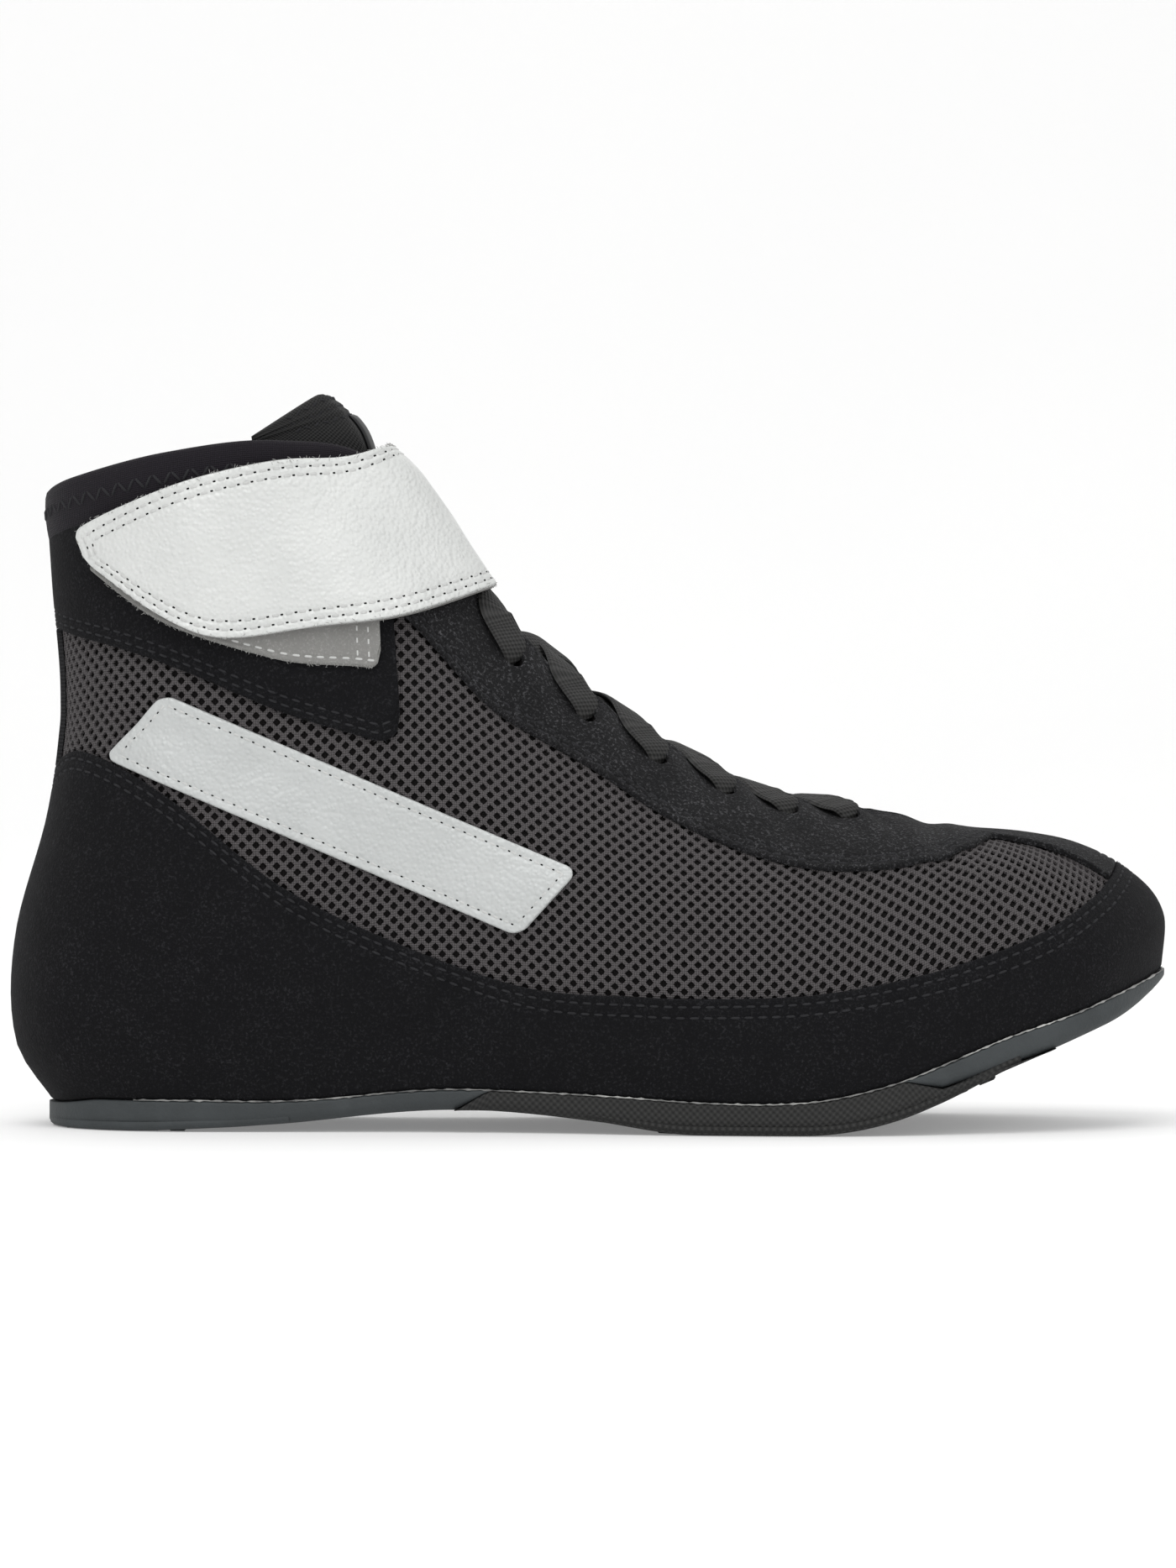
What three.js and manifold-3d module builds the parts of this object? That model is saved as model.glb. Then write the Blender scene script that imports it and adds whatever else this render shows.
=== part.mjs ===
// A wrestling shoe for the right foot, assembled as a maker does it: a hollow mesh upper closed below by a
// thin three-part rubber sole, suede overlays, a padded collar and tongue, flat laces and an ankle strap.
// Millimetres. +X runs to the toe, +Y to the inner side of the foot, +Z up. The shoe stands on z = 0.
import * as THREE from "three";
import Module from "manifold-3d";

const wasm = await Module();
wasm.setup();

// Driving dimensions
const shoeLength = 280; // back of the heel to the tip of the toe
const ballWidth = 97; // across the feather line at the ball of the foot
const shaftHeight = 150; // floor to the top edge at the back
const wall = 2.2; // mesh and its foam lining
const panelThickness = 1.2; // suede overlays
const clearance = 0.3; // between pieces that touch
const facetTolerance = 0.03; // slivers smaller than this are merged
const soleThickness = 7.4; // rubber at the heel
const soleLip = 2.2; // how far the rubber stands outside the mesh wall
const soleEdgeRound = 2.6; // rounding of the rubber's lower edge
const toeCurl = 4.5; // how far the sole's tip curls up past the straight of the spring
const archRise = 4.2; // how far the waist of the sole lifts
const springRadius = 75; // bend of the toe spring
const springAngle = 22.5; // slope of the sole under the toes, in degrees
const treadDepth = 1.3; // height of the tread bars
const treadPitch = 6.4; // from one bar to the next
const treadBar = 4; // width of a bar
const insoleThickness = 3.5;
const collarPadding = 3.2; // foam inside the top edge
const collarRoll = 1.6; // binding outside and over the top edge
const collarDepth = 0.07; // share of the wall height that the binding covers outside
const tongueThickness = 3; // under the laces
const tonguePadding = 2.6; // added at the top of the tongue
const tongueRise = 19; // top of the tongue over the collar
const laceWidth = 7;
const laceThickness = 1.3;
const eyeletPairs = 7;
const firstEyelet = 4.65; // section of the top pair
const eyeletStep = 0.71; // sections from pair to pair
const eyeletSetback = 11; // eyelet centre from the throat's edge, at the top pair
const lastSetback = 6.5; // and at the lowest pair
const eyeletRadius = 2.2;
const patchThickness = 1.2; // loop fabric under the strap's end
const strapThickness = 2.4;
const barThickness = 1; // silver leather bar on the quarter
const barLength = 108;
const barWidth = 20;
const barSlope = 23; // degrees down towards the toe

// The last, one row for each section from the back of the heel (first) to the tip of the toe (last).
// foot, top: share of shoeLength. outer, inner, throat: share of ballWidth. height: share of shaftHeight.
// low to cuff: how far the wall stands out of the straight line from foot to top, share of ballWidth.
const lastColumns = ["foot", "outer", "inner", "top", "throat", "height", "low", "belly", "waist", "neck", "cuff"];
const lastRows = [
  [0.036, 0.0, 0.0, 0.0315, 0.0, 1.015, 0.09, 0.09, 0.004, -0.03, -0.012],
  [0.0595, 0.18, 0.18, 0.0555, 0.175, 1.036, 0.08, 0.082, 0.01, -0.022, -0.006],
  [0.125, 0.284, 0.278, 0.134, 0.309, 1.073, 0.046, 0.062, 0.02, 0.002, 0.005],
  [0.2286, 0.309, 0.294, 0.2286, 0.32, 1.092, 0.031, 0.046, 0.031, 0.02, 0.015],
  [0.35, 0.33, 0.268, 0.314, 0.2165, 1.057, 0.036, 0.067, 0.082, 0.072, 0.041],
  [0.457, 0.376, 0.278, 0.393, 0.1495, 0.86, 0.057, 0.103, 0.122, 0.098, 0.052],
  [0.557, 0.433, 0.34, 0.4786, 0.129, 0.71, 0.067, 0.124, 0.136, 0.113, 0.059],
  [0.657, 0.474, 0.4175, 0.564, 0.1186, 0.6, 0.072, 0.132, 0.148, 0.131, 0.072],
  [0.75, 0.469, 0.4536, 0.643, 0.108, 0.531, 0.067, 0.129, 0.149, 0.134, 0.077],
  [0.837, 0.41, 0.433, 0.716, 0.09, 0.512, 0.067, 0.129, 0.155, 0.134, 0.067],
  [0.905, 0.34, 0.38, 0.752, 0.076, 0.496, 0.077, 0.136, 0.157, 0.129, 0.06],
  [0.957, 0.2, 0.27, 0.775, 0.045, 0.488, 0.1, 0.148, 0.155, 0.12, 0.05],
  [0.9893, -0.04, 0.04, 0.785, 0.0, 0.485, 0.122, 0.165, 0.155, 0.11, 0.04],
];
const throatRound = 0.55; // 1 would carry the round of the wall across the throat, 0 is flat
const squareFoot = 0.08; // share of the wall height in which the wall turns square to the sole
const bulgeLevels = [0, 0.1, 0.27, 0.48, 0.66, 0.86, 1]; // shares of the wall height, foot to top

// Seams of the overlays, one row for each section: share of the wall height.
// rand: top of the suede mudguard. panel, patch: bottom of the ankle panel and of the loop patch on it.
// stay: bottom of the eyestay.
const seamColumns = ["rand", "panel", "patch", "stay"];
const seamRows = [
  [0.55, 0.785, 0.95, 0.8],
  [0.566, 0.752, 0.9, 0.8],
  [0.485, 0.685, 0.765, 0.8],
  [0.335, 0.6, 0.692, 0.8],
  [0.226, 0.545, 0.68, 0.78],
  [0.196, 0.54, 0.69, 0.758],
  [0.218, 0.54, 0.69, 0.772],
  [0.245, 0.54, 0.69, 0.708],
  [0.255, 0.54, 0.69, 0.663],
  [0.236, 0.54, 0.69, 0.627],
  [0.245, 0.54, 0.69, 0.665],
  [0.281, 0.54, 0.69, 0.72],
  [0.33, 0.54, 0.69, 0.73],
];

// The sole's side: share of shoeLength, thickness as a share of soleThickness.
const soleRows = [
  [0.03, 0.8],
  [0.08, 1.0],
  [0.16, 1.0],
  [0.3, 0.82],
  [0.41, 0.83],
  [0.55, 1.07],
  [0.64, 1.0],
  [0.75, 1.2],
  [0.84, 1.18],
  [0.93, 0.96],
  [0.99, 0.93],
];
const heelFlatEnd = 0.18; // share of shoeLength, like the next seven
const forefootFlatStart = 0.595;
const toeBreak = 0.677;
const toeCurlStart = 0.94;
const heelCutBottom = 0.384;
const heelCutTop = 0.411;
const toeCutBottom = 0.797;
const toeCutTop = 0.766;
const treadLayerEnd = 0.89; // where the tread's thin layer under the toe rubber runs out
const treadLayer = 2.2; // its thickness

const lastSection = lastRows.length - 1;
const round = 2 * lastSection; // sections once round the shoe: out by the outer side, back by the inner
const table = (columns, rows) =>
  rows.map((row) => Object.fromEntries(row.map((value, i) => [columns[i], value])));
const last = table(lastColumns, lastRows);
const seams = table(seamColumns, seamRows);

const wrap = (k) => ((k % round) + round) % round;
const rowOf = (k) => (wrap(k) <= lastSection ? wrap(k) : round - wrap(k));
const mirrored = (p) => round - p; // the same section on the other side

function smooth(a, b, c, d, t) {
  return b + 0.5 * t * (c - a + t * (2 * a - 5 * b + 4 * c - d + t * (3 * (b - c) + d - a)));
}

// A column of a table at any place p round the shoe.
function columnAt(rows, pick, p) {
  const k = Math.floor(p);
  const near = [-1, 0, 1, 2].map((step) => pick(rows[rowOf(k + step)], wrap(k + step)));
  return smooth(...near, p - k);
}

function alongRows(rows, x) {
  const share = x / shoeLength;
  if (share <= rows[0][0]) return rows[0][1];
  const i = rows.findIndex((row) => row[0] >= share);
  if (i < 0) return rows[rows.length - 1][1];
  const [x0, y0] = rows[i - 1];
  const [x1, y1] = rows[i];
  const t = (share - x0) / (x1 - x0);
  return y0 + (y1 - y0) * t * t * (3 - 2 * t);
}

// Height of the sole's run: flat heel, lifted waist, flat forefoot, then a bend and a straight ramp.
function soleRun(x) {
  const waistStart = heelFlatEnd * shoeLength;
  const waistEnd = forefootFlatStart * shoeLength;
  const bendStart = toeBreak * shoeLength;
  if (x < waistStart) return 0;
  if (x < waistEnd) return archRise * Math.sin((Math.PI * (x - waistStart)) / (waistEnd - waistStart)) ** 2;
  if (x < bendStart) return 0;
  const angle = THREE.MathUtils.degToRad(springAngle);
  const bend = springRadius * Math.sin(angle);
  const run = x - bendStart;
  if (run < bend) return springRadius - Math.sqrt(springRadius ** 2 - run ** 2);
  return springRadius * (1 - Math.cos(angle)) + (run - bend) * Math.tan(angle);
}

const soleTop = (x) => soleRun(x) + soleThickness * alongRows(soleRows, x);

function soleBottom(x) {
  const curled = Math.max(0, x / shoeLength - toeCurlStart) / (1 - toeCurlStart);
  return soleRun(x) + toeCurl * curled ** 2;
}

// Foot of the wall: on the sole's top, a clearance above it.
function footPoint(p) {
  const x = shoeLength * columnAt(last, (row) => row.foot, p);
  const y = ballWidth * columnAt(last, (row, k) => (k <= lastSection ? -row.outer : row.inner), p);
  return new THREE.Vector3(x, y, soleTop(x) + clearance);
}

function topPoint(p) {
  const side = (k) => (k <= lastSection ? -1 : 1);
  return new THREE.Vector3(
    shoeLength * columnAt(last, (row) => row.top, p),
    ballWidth * columnAt(last, (row, k) => side(k) * row.throat, p),
    shaftHeight * columnAt(last, (row) => row.height, p),
  );
}

function bulgeAt(p, w) {
  const names = lastColumns.slice(lastColumns.indexOf("low"));
  const knots = [0, ...names.map((name) => columnAt(last, (row) => row[name], p)), 0];
  let i = 0;
  while (i < bulgeLevels.length - 2 && w > bulgeLevels[i + 1]) i++;
  const slope = (k) => {
    const a = Math.max(k - 1, 0);
    const b = Math.min(k + 1, knots.length - 1);
    return (knots[b] - knots[a]) / (bulgeLevels[b] - bulgeLevels[a]);
  };
  const step = bulgeLevels[i + 1] - bulgeLevels[i];
  const t = (w - bulgeLevels[i]) / step;
  const rise = knots[i] * (1 + 2 * t) * (1 - t) ** 2 + knots[i + 1] * t * t * (3 - 2 * t);
  return ballWidth * (rise + step * (slope(i) * t * (1 - t) ** 2 - slope(i + 1) * t * t * (1 - t)));
}

// A point of the upper's outer face: p sections round the shoe, w up the wall.
function facePoint(p, w) {
  const foot = footPoint(p);
  const top = topPoint(p);
  const before = footPoint(p - 0.02).add(topPoint(p - 0.02));
  const along = footPoint(p + 0.02).add(topPoint(p + 0.02)).sub(before);
  const out = along.cross(top.clone().sub(foot)).normalize();
  return foot.lerp(top, w).addScaledVector(out, bulgeAt(p, w));
}

// Direction straight out of the face. At the foot it turns level, so the wall stands square on the sole.
function faceNormal(p, w) {
  const along = facePoint(p + 0.03, w).sub(facePoint(p - 0.03, w));
  const normal = along.cross(facePoint(p, w + 0.01).sub(facePoint(p, w - 0.01))).normalize();
  normal.z *= THREE.MathUtils.clamp(w / squareFoot, 0, 1);
  return normal.normalize();
}

// The same, d outside the face (inside where d is negative) and lifted by rise.
function skin(p, w, d, rise = 0) {
  const face = facePoint(p, w);
  const point = face.clone().addScaledVector(faceNormal(p, w), d);
  const seat = soleTop(point.x) - soleTop(face.x);
  point.z += rise + seat * THREE.MathUtils.clamp(1 - w / squareFoot, 0, 1);
  return point;
}

// The flattened round of the instep across the open throat, from k = -1 at its outer edge to k = 1 at its inner edge.
function overThroat(pOuter, pInner, k, d) {
  const a = skin(pOuter, 1, d);
  const b = skin(mirrored(pInner), 1, d);
  const normalA = faceNormal(pOuter, 1);
  const normalB = faceNormal(mirrored(pInner), 1);
  const up = normalA.clone().add(normalB).normalize();
  const turn = throatRound * Math.acos(Math.min(1, (normalA.dot(up) + normalB.dot(up)) / 2));
  const half = a.distanceTo(b) / 2;
  const side = b.clone().sub(a).normalize();
  const centre = a.clone().add(b).multiplyScalar(0.5).addScaledVector(up, -half / Math.tan(turn));
  const radius = half / Math.sin(turn);
  return centre
    .addScaledVector(up, radius * Math.cos(k * turn))
    .addScaledVector(side, radius * Math.sin(k * turn));
}

const steps = (from, to, count) =>
  Array.from({ length: count + 1 }, (_, i) => from + ((to - from) * i) / count);

// A closed solid from rings, each an outside row and an inside row of as many points.
function shell(rings, closed = false) {
  const rows = rings[0].outer.length;
  const positions = rings.flatMap((ring) => [...ring.outer, ...ring.inner]).flatMap((v) => [v.x, v.y, v.z]);
  const outer = (i, j) => (i % rings.length) * 2 * rows + j;
  const inner = (i, j) => outer(i, j) + rows;
  const index = [];
  const quad = (a, b, c, d) => index.push(a, b, c, a, c, d);
  const spans = closed ? rings.length : rings.length - 1;
  for (let i = 0; i < spans; i++) {
    for (let j = 0; j < rows - 1; j++) {
      quad(outer(i, j), outer(i + 1, j), outer(i + 1, j + 1), outer(i, j + 1));
      quad(inner(i, j), inner(i, j + 1), inner(i + 1, j + 1), inner(i + 1, j));
    }
    quad(outer(i, 0), inner(i, 0), inner(i + 1, 0), outer(i + 1, 0));
    quad(outer(i, rows - 1), outer(i + 1, rows - 1), inner(i + 1, rows - 1), inner(i, rows - 1));
  }
  for (let j = 0; !closed && j < rows - 1; j++) {
    const end = rings.length - 1;
    quad(outer(0, j), outer(0, j + 1), inner(0, j + 1), inner(0, j));
    quad(outer(end, j), inner(end, j), inner(end, j + 1), outer(end, j + 1));
  }
  const geometry = new THREE.BufferGeometry();
  geometry.setAttribute("position", new THREE.Float32BufferAttribute(positions, 3));
  geometry.setIndex(index);
  return geometry;
}

function toSolid(geometry) {
  const vertProperties = new Float32Array(geometry.getAttribute("position").array);
  return new wasm.Manifold(new wasm.Mesh({ numProp: 3, vertProperties, triVerts: new Uint32Array(geometry.index.array) }));
}

function toGeometry(solid) {
  const mesh = solid.simplify(facetTolerance).getMesh();
  const geometry = new THREE.BufferGeometry();
  const positions = [];
  for (let i = 0; i < mesh.numVert; i++) positions.push(...mesh.vertProperties.slice(i * mesh.numProp, i * mesh.numProp + 3));
  geometry.setAttribute("position", new THREE.Float32BufferAttribute(positions, 3));
  geometry.setIndex([...mesh.triVerts]);
  return geometry;
}

// A solid standing on its side: an outline in x and z, as wide as the shoe and more.
function sideways(points) {
  const shape = new THREE.Shape(points.map(([x, z]) => new THREE.Vector2(x, z)));
  const prism = new THREE.ExtrudeGeometry(shape, { depth: 2 * ballWidth, bevelEnabled: false });
  prism.rotateX(Math.PI / 2).translate(0, ballWidth, 0);
  prism.deleteAttribute("normal");
  prism.deleteAttribute("uv");
  return toSolid(merged(prism));
}

function merged(geometry) {
  const positions = geometry.getAttribute("position");
  const seen = new Map();
  const kept = [];
  const index = [];
  for (let i = 0; i < positions.count; i++) {
    const point = [positions.getX(i), positions.getY(i), positions.getZ(i)];
    const key = point.map((value) => value.toFixed(3)).join();
    if (!seen.has(key)) {
      seen.set(key, seen.size);
      kept.push(...point);
    }
    index.push(seen.get(key));
  }
  const clean = new THREE.BufferGeometry();
  clean.setAttribute("position", new THREE.Float32BufferAttribute(kept, 3));
  clean.setIndex(index);
  return clean;
}

const shoe = new THREE.Group();

function add(name, geometry, color, roughness, metalness = 0) {
  const mesh = new THREE.Mesh(geometry, new THREE.MeshStandardMaterial({ color, roughness, metalness }));
  mesh.name = name;
  shoe.add(mesh);
}

const black = 0x17171a;
const suede = 0x1c1c1f;
const silver = 0xd2d5d3;
const slate = 0x34393b;

// Upper: the mesh quarters and vamp with their lining, one hollow wall open at collar, throat and sole.
const wallRows = steps(0, 1, 10);
// Facets stand closer round the heel and the toe than along the sides.
const panelEnd = 4.04; // section where the ankle panel and the collar end at the throat
const halfRound = [
  ...steps(0, 2, 5),
  ...steps(2, panelEnd, 5).slice(1),
  ...steps(panelEnd, 10, 8).slice(1),
  ...steps(10, lastSection, 5).slice(1),
];
const fullRound = [...halfRound, ...halfRound.slice(1, -1).reverse().map(mirrored)];
const around = (from, to) => [from, ...halfRound.filter((p) => p > from + 0.1 && p < to - 0.1), to];

// A layer of the wall, all round and from foot to top, between two distances outside the face.
const layer = (inside, outside) =>
  toSolid(
    shell(
      fullRound.map((p) => ({
        outer: wallRows.map((w) => skin(p, w, outside)),
        inner: wallRows.map((w) => skin(p, w, inside)),
      })),
      true,
    ),
  );

// A thick band of the wall between two seams, to cut an overlay out of its layer.
const cutReach = 6;
function cutter(places, low, high, closed = false) {
  const rings = places.map((p) => {
    const rows = steps(0, 1, 5).map((share) => low(p) + (high(p) - low(p)) * share);
    return { outer: rows.map((w) => skin(p, w, cutReach)), inner: rows.map((w) => skin(p, w, -cutReach)) };
  });
  return toSolid(shell(rings, closed));
}

// Eyelets: one place for each pair, on both sides of the throat.
const lastEyelet = firstEyelet + eyeletStep * (eyeletPairs - 1);
const eyeletPlaces = steps(firstEyelet, lastEyelet, eyeletPairs - 1);
const heightShare = (p, distance) => distance / footPoint(p).distanceTo(topPoint(p));
function eyeletHeight(p) {
  return 1 - heightShare(p, THREE.MathUtils.mapLinear(p, firstEyelet, lastEyelet, eyeletSetback, lastSetback));
}

function eyeletPunch(p) {
  const w = eyeletHeight(p);
  const reach = wall + panelThickness + 4 * clearance;
  const pin = new THREE.CylinderGeometry(eyeletRadius, eyeletRadius, 2 * reach, 6);
  const turn = new THREE.Quaternion().setFromUnitVectors(new THREE.Vector3(0, 1, 0), faceNormal(p, w));
  pin.applyQuaternion(turn);
  const at = skin(p, w, 0);
  pin.translate(at.x, at.y, at.z);
  return toSolid(merged(pin.toNonIndexed()));
}

const punches = eyeletPlaces
  .flatMap((p) => [eyeletPunch(p), eyeletPunch(mirrored(p))])
  .reduce((all, pin) => all.add(pin));

add("upper", toGeometry(layer(-wall, 0).subtract(punches)), 0x2a2829, 0.85);

// Suede overlays lie on the mesh, a clearance off it.
const overlayOutside = clearance + panelThickness;
const overlay = layer(clearance, overlayOutside);
const seam = (name) => (p) => columnAt(seams, (row) => row[name], p);
const seamGap = (p) => heightShare(p, clearance);
const randTop = seam("rand");

const underFoot = () => -0.03; // cuts reach this far past the foot and the top
const overTop = () => 1.03;
add("rand", toGeometry(overlay.intersect(cutter(fullRound, underFoot, randTop, true))), suede, 0.95);

const panelCorner = 0.28; // sections over which its front corner is rounded
function panelBottom(p) {
  const t = THREE.MathUtils.clamp((Math.abs(p) - panelEnd + panelCorner) / panelCorner, 0, 1);
  return seam("panel")(p) + 0.06 * (1 - Math.sqrt(1 - t * t));
}
const bothWays = (half) => [...half.slice(1).reverse().map((p) => -p), ...half];
const backRound = bothWays(halfRound.filter((p) => p < panelEnd + 0.01));
const panelPlaces = bothWays([...around(0, panelEnd - panelCorner), ...steps(panelEnd - panelCorner, panelEnd, 4).slice(1)]);
const collarFoot = 1 - collarDepth;
const panelCut = cutter(panelPlaces, panelBottom, (p) => collarFoot - 3 * seamGap(p));
add("ankle_panel", toGeometry(overlay.intersect(panelCut)), suede, 0.95);

const backStayReach = 0.2; // sections either side of the back seam
const backStayCut = cutter(
  steps(-backStayReach, backStayReach, 4),
  (p) => randTop(p) + 4 * seamGap(p),
  (p) => seam("panel")(p) - 2 * seamGap(p),
);
add("back_stay", toGeometry(overlay.intersect(backStayCut)), black, 0.6);

// Eyestay: down one side of the throat, round its end and up the other, with a strip on to the toe.
const stayStart = 4.14;
const stripReach = 0.9; // sections either side of the toe where the strip widens to the eyestay
const stripWidth = 0.55;
function stayBottom(p) {
  const fromToe = Math.abs(p - lastSection);
  const side = seam("stay")(p);
  if (fromToe > stripReach) return side;
  const low = randTop(p) + 4 * seamGap(p);
  const t = THREE.MathUtils.clamp((fromToe - stripWidth) / (stripReach - stripWidth), 0, 1);
  return low + (side - low) * Math.sqrt(t * (2 - t));
}
const stayHalf = [...around(stayStart, lastSection - stripReach), ...steps(lastSection - stripReach, lastSection, 9).slice(1)];
const stayPlaces = [...stayHalf, ...stayHalf.slice(0, -1).reverse().map(mirrored)];
const stayCut = cutter(stayPlaces, stayBottom, overTop);
add("eyestay", toGeometry(overlay.intersect(stayCut).subtract(punches)), suede, 0.95);

// A point on the facet of a layer's surface rather than on its curve, so that faces fit each other.
function onFacet(p, w, d, rise = 0) {
  const spans = wallRows.length - 1;
  const k = Math.min(Math.floor(w * spans + 1e-6), spans - 1);
  const point = skin(p, wallRows[k], d).lerp(skin(p, wallRows[k + 1], d), w * spans - k);
  point.z += rise;
  return point;
}

// Collar: a padded binding that hooks over the top edge. Its section runs up outside, over and down inside.
const slotInside = -wall - 3 * clearance;
const collarInside = slotInside - collarPadding;
const collarMiddle = (1 + collarFoot) / 2;
const collarFootInside = collarFoot - collarDepth;
const collarRings = backRound.map((p) => ({
  outer: [
    onFacet(p, collarFoot, overlayOutside),
    onFacet(p, collarMiddle, clearance + collarRoll),
    onFacet(p, 1, clearance + collarRoll * 0.7, collarRoll * 0.7),
    onFacet(p, 1, -wall / 2, clearance + collarRoll),
    onFacet(p, 1, collarInside * 0.75, collarRoll * 0.5),
    onFacet(p, collarMiddle, collarInside),
    onFacet(p, collarFootInside, collarInside * 0.7),
  ],
  inner: [
    onFacet(p, collarFoot, 3 * clearance),
    onFacet(p, collarMiddle, 3 * clearance),
    onFacet(p, 1, 2.5 * clearance, clearance),
    onFacet(p, 1, slotInside, clearance),
    onFacet(p, 1, slotInside),
    onFacet(p, 0.9, slotInside),
    onFacet(p, collarFootInside, slotInside),
  ],
}));
add("collar", shell(collarRings), black, 0.9);

// Tongue, one row from its toe end to its top. middle: section where it crosses the throat.
// edge, edgeHeight: section and share of the wall height of its free edge. pad: share of tonguePadding.
const tongueColumns = ["middle", "edge", "edgeHeight", "pad", "deeper", "rise"];
const tongueRows = [
  [10.1, 9.9, 0.9, 0, 0, 0],
  [9.2, 9.1, 0.85, 0, 0, 0],
  [8.2, 8.2, 0.83, 0, 0, 0],
  [7.2, 7.2, 0.83, 0, 0, 0],
  [6.2, 6.2, 0.83, 0, 0, 0],
  [5.4, 5.4, 0.83, 0, 0, 0],
  [4.8, 4.75, 0.84, 0.4, 0.2, 0],
  [4.3, 4.1, 0.87, 0.8, 0.8, 0],
  [4.05, 3.4, 0.93, 1, 1, 0],
  [4.0, 2.95, 0.985, 1, 1, 0.55],
  [3.98, 3.05, 1.0, 0.4, 1.1, 1],
];
const laceRoom = laceThickness + 2 * clearance;
const tongue = table(tongueColumns, tongueRows);
const tongueRings = tongue.map((row) => {
  const depth = -(wall + laceRoom + row.deeper * (collarPadding + clearance));
  const thickness = tongueThickness + row.pad * tonguePadding;
  const face = (d, lean) => {
    const edge = (p) => {
      const point = skin(p, row.edgeHeight, d, row.rise * tongueRise * 0.7);
      point.x += row.rise * lean * 0.3;
      return point;
    };
    const middle = steps(-1, 1, 4).map((k) => {
      const point = overThroat(row.middle, row.middle, k, d);
      point.z += row.rise * tongueRise * (1 - 0.1 * k * k);
      point.x += row.rise * lean * (1 - 0.25 * k * k);
      return point;
    });
    return [edge(row.edge), ...middle, edge(mirrored(row.edge))];
  };
  const back = -row.rise * tongueRise * 0.85;
  return { outer: face(depth, back), inner: face(depth - thickness, back) };
});
// Rings run from the toe to the top, so the rows are turned round to keep the faces pointing out.
add("tongue", shell([...tongueRings].reverse()), black, 0.85);

// Strap: from the inner ankle over the instep to the outer side, over the loop patch.
// Sections and shares of the wall height of its upper and lower edge, from the free tip to the throat.
const strapColumns = ["upper", "upperHeight", "lower", "lowerHeight"];
const strapRows = [
  [1.02, 0.922, 1.1, 0.9],
  [1.35, 0.938, 1.55, 0.835],
  [1.8, 0.95, 2.05, 0.76],
  [2.3, 0.963, 2.55, 0.712],
  [3.0, 0.977, 3.3, 0.725],
  [3.55, 0.985, 4.1, 0.765],
];
const strapAcross = 4;
const strapInside = overlayOutside + clearance + patchThickness + clearance;
const strapRise = 3; // its upper edge stands up in front
const strapThroat = [3.92, 5.05]; // sections where its edges cross the throat
const strapLift = 0.9; // it rides over the laces
const strapFlat = 0.75; // and lies flatter than they do
const strapAnchor = 2.3; // section where it is sewn down on the inner side
const strap = table(strapColumns, strapRows);

function strapRow(row, side) {
  return (d) =>
    steps(0, 1, strapAcross).map((share) => {
      const p = THREE.MathUtils.lerp(row.lower, row.upper, share);
      return skin(side(p), THREE.MathUtils.lerp(row.lowerHeight, row.upperHeight, share), d);
    });
}

const strapOverThroat = (k) => (d) =>
  steps(0, 1, strapAcross).map((share) => {
    const p = THREE.MathUtils.lerp(strapThroat[1], strapThroat[0], share);
    const level = overThroat(p, p, -1, d + strapLift).lerp(overThroat(p, p, 1, d + strapLift), (k + 1) / 2);
    const point = overThroat(p, p, k, d + strapLift).lerp(level, strapFlat);
    point.z += share * strapRise;
    return point;
  });

function strapLines(d) {
  const outerSide = strap.map((row) => strapRow(row, (p) => p)(d));
  const innerSide = strap.filter((row) => row.upper >= strapAnchor).map((row) => strapRow(row, mirrored)(d));
  const front = [-1, -0.5, 0, 0.5, 1].map((k) => strapOverThroat(k)(d));
  const lines = [...outerSide, ...front, ...innerSide.reverse()];
  const curves = steps(0, strapAcross, strapAcross).map((j) => new THREE.CatmullRomCurve3(lines.map((line) => line[j])));
  const places = steps(0, 1, 2 * (lines.length - 1));
  return places.map((t) => curves.map((curve) => curve.getPoint(t)));
}
const strapOuter = strapLines(strapInside + strapThickness);
const strapInner = strapLines(strapInside);
add("strap", shell(strapOuter.map((outer, i) => ({ outer, inner: strapInner[i] }))), silver, 0.42, 0.35);

// Loop patch: sewn on the outer ankle, mostly under the strap's end.
const patchPlaces = steps(1.3, 3.89, 9);
const patchLayer = layer(overlayOutside + clearance, overlayOutside + clearance + patchThickness);
const patchCut = cutter(patchPlaces, seam("patch"), () => collarFoot - 0.02);
add("loop_patch", toGeometry(patchLayer.intersect(patchCut)), 0x8d8f8e, 0.98);

// Silver leather bar on each quarter: straight, parallel sided, in the open mesh under the ankle panel.
const barCentre = [0.285, 0.508]; // shares of shoeLength and shaftHeight
const barCorner = 3; // length that its corners are cut off
const barLean = 0.35; // its ends lean by this share of its width
function barOutline() {
  const slope = THREE.MathUtils.degToRad(barSlope);
  const corner = (u, v) => [
    barCentre[0] * shoeLength + (u + v * barLean) * Math.cos(slope) + v * Math.sin(slope),
    barCentre[1] * shaftHeight - (u + v * barLean) * Math.sin(slope) + v * Math.cos(slope),
  ];
  const u = barLength / 2;
  const v = barWidth / 2;
  return [
    corner(-u + barCorner, -v),
    corner(u - barCorner, -v),
    corner(u, -v + barCorner),
    corner(u, v - barCorner),
    corner(u - barCorner, v),
    corner(-u + barCorner, v),
    corner(-u, v - barCorner),
    corner(-u, -v + barCorner),
  ];
}
const bars = layer(clearance, clearance + barThickness).intersect(sideways(barOutline()));
const [barOuter, barInner] = bars.splitByPlane([0, -1, 0], 0);
add("side_bar_outer", toGeometry(barOuter), silver, 0.42, 0.35);
add("side_bar_inner", toGeometry(barInner), silver, 0.42, 0.35);

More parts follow.
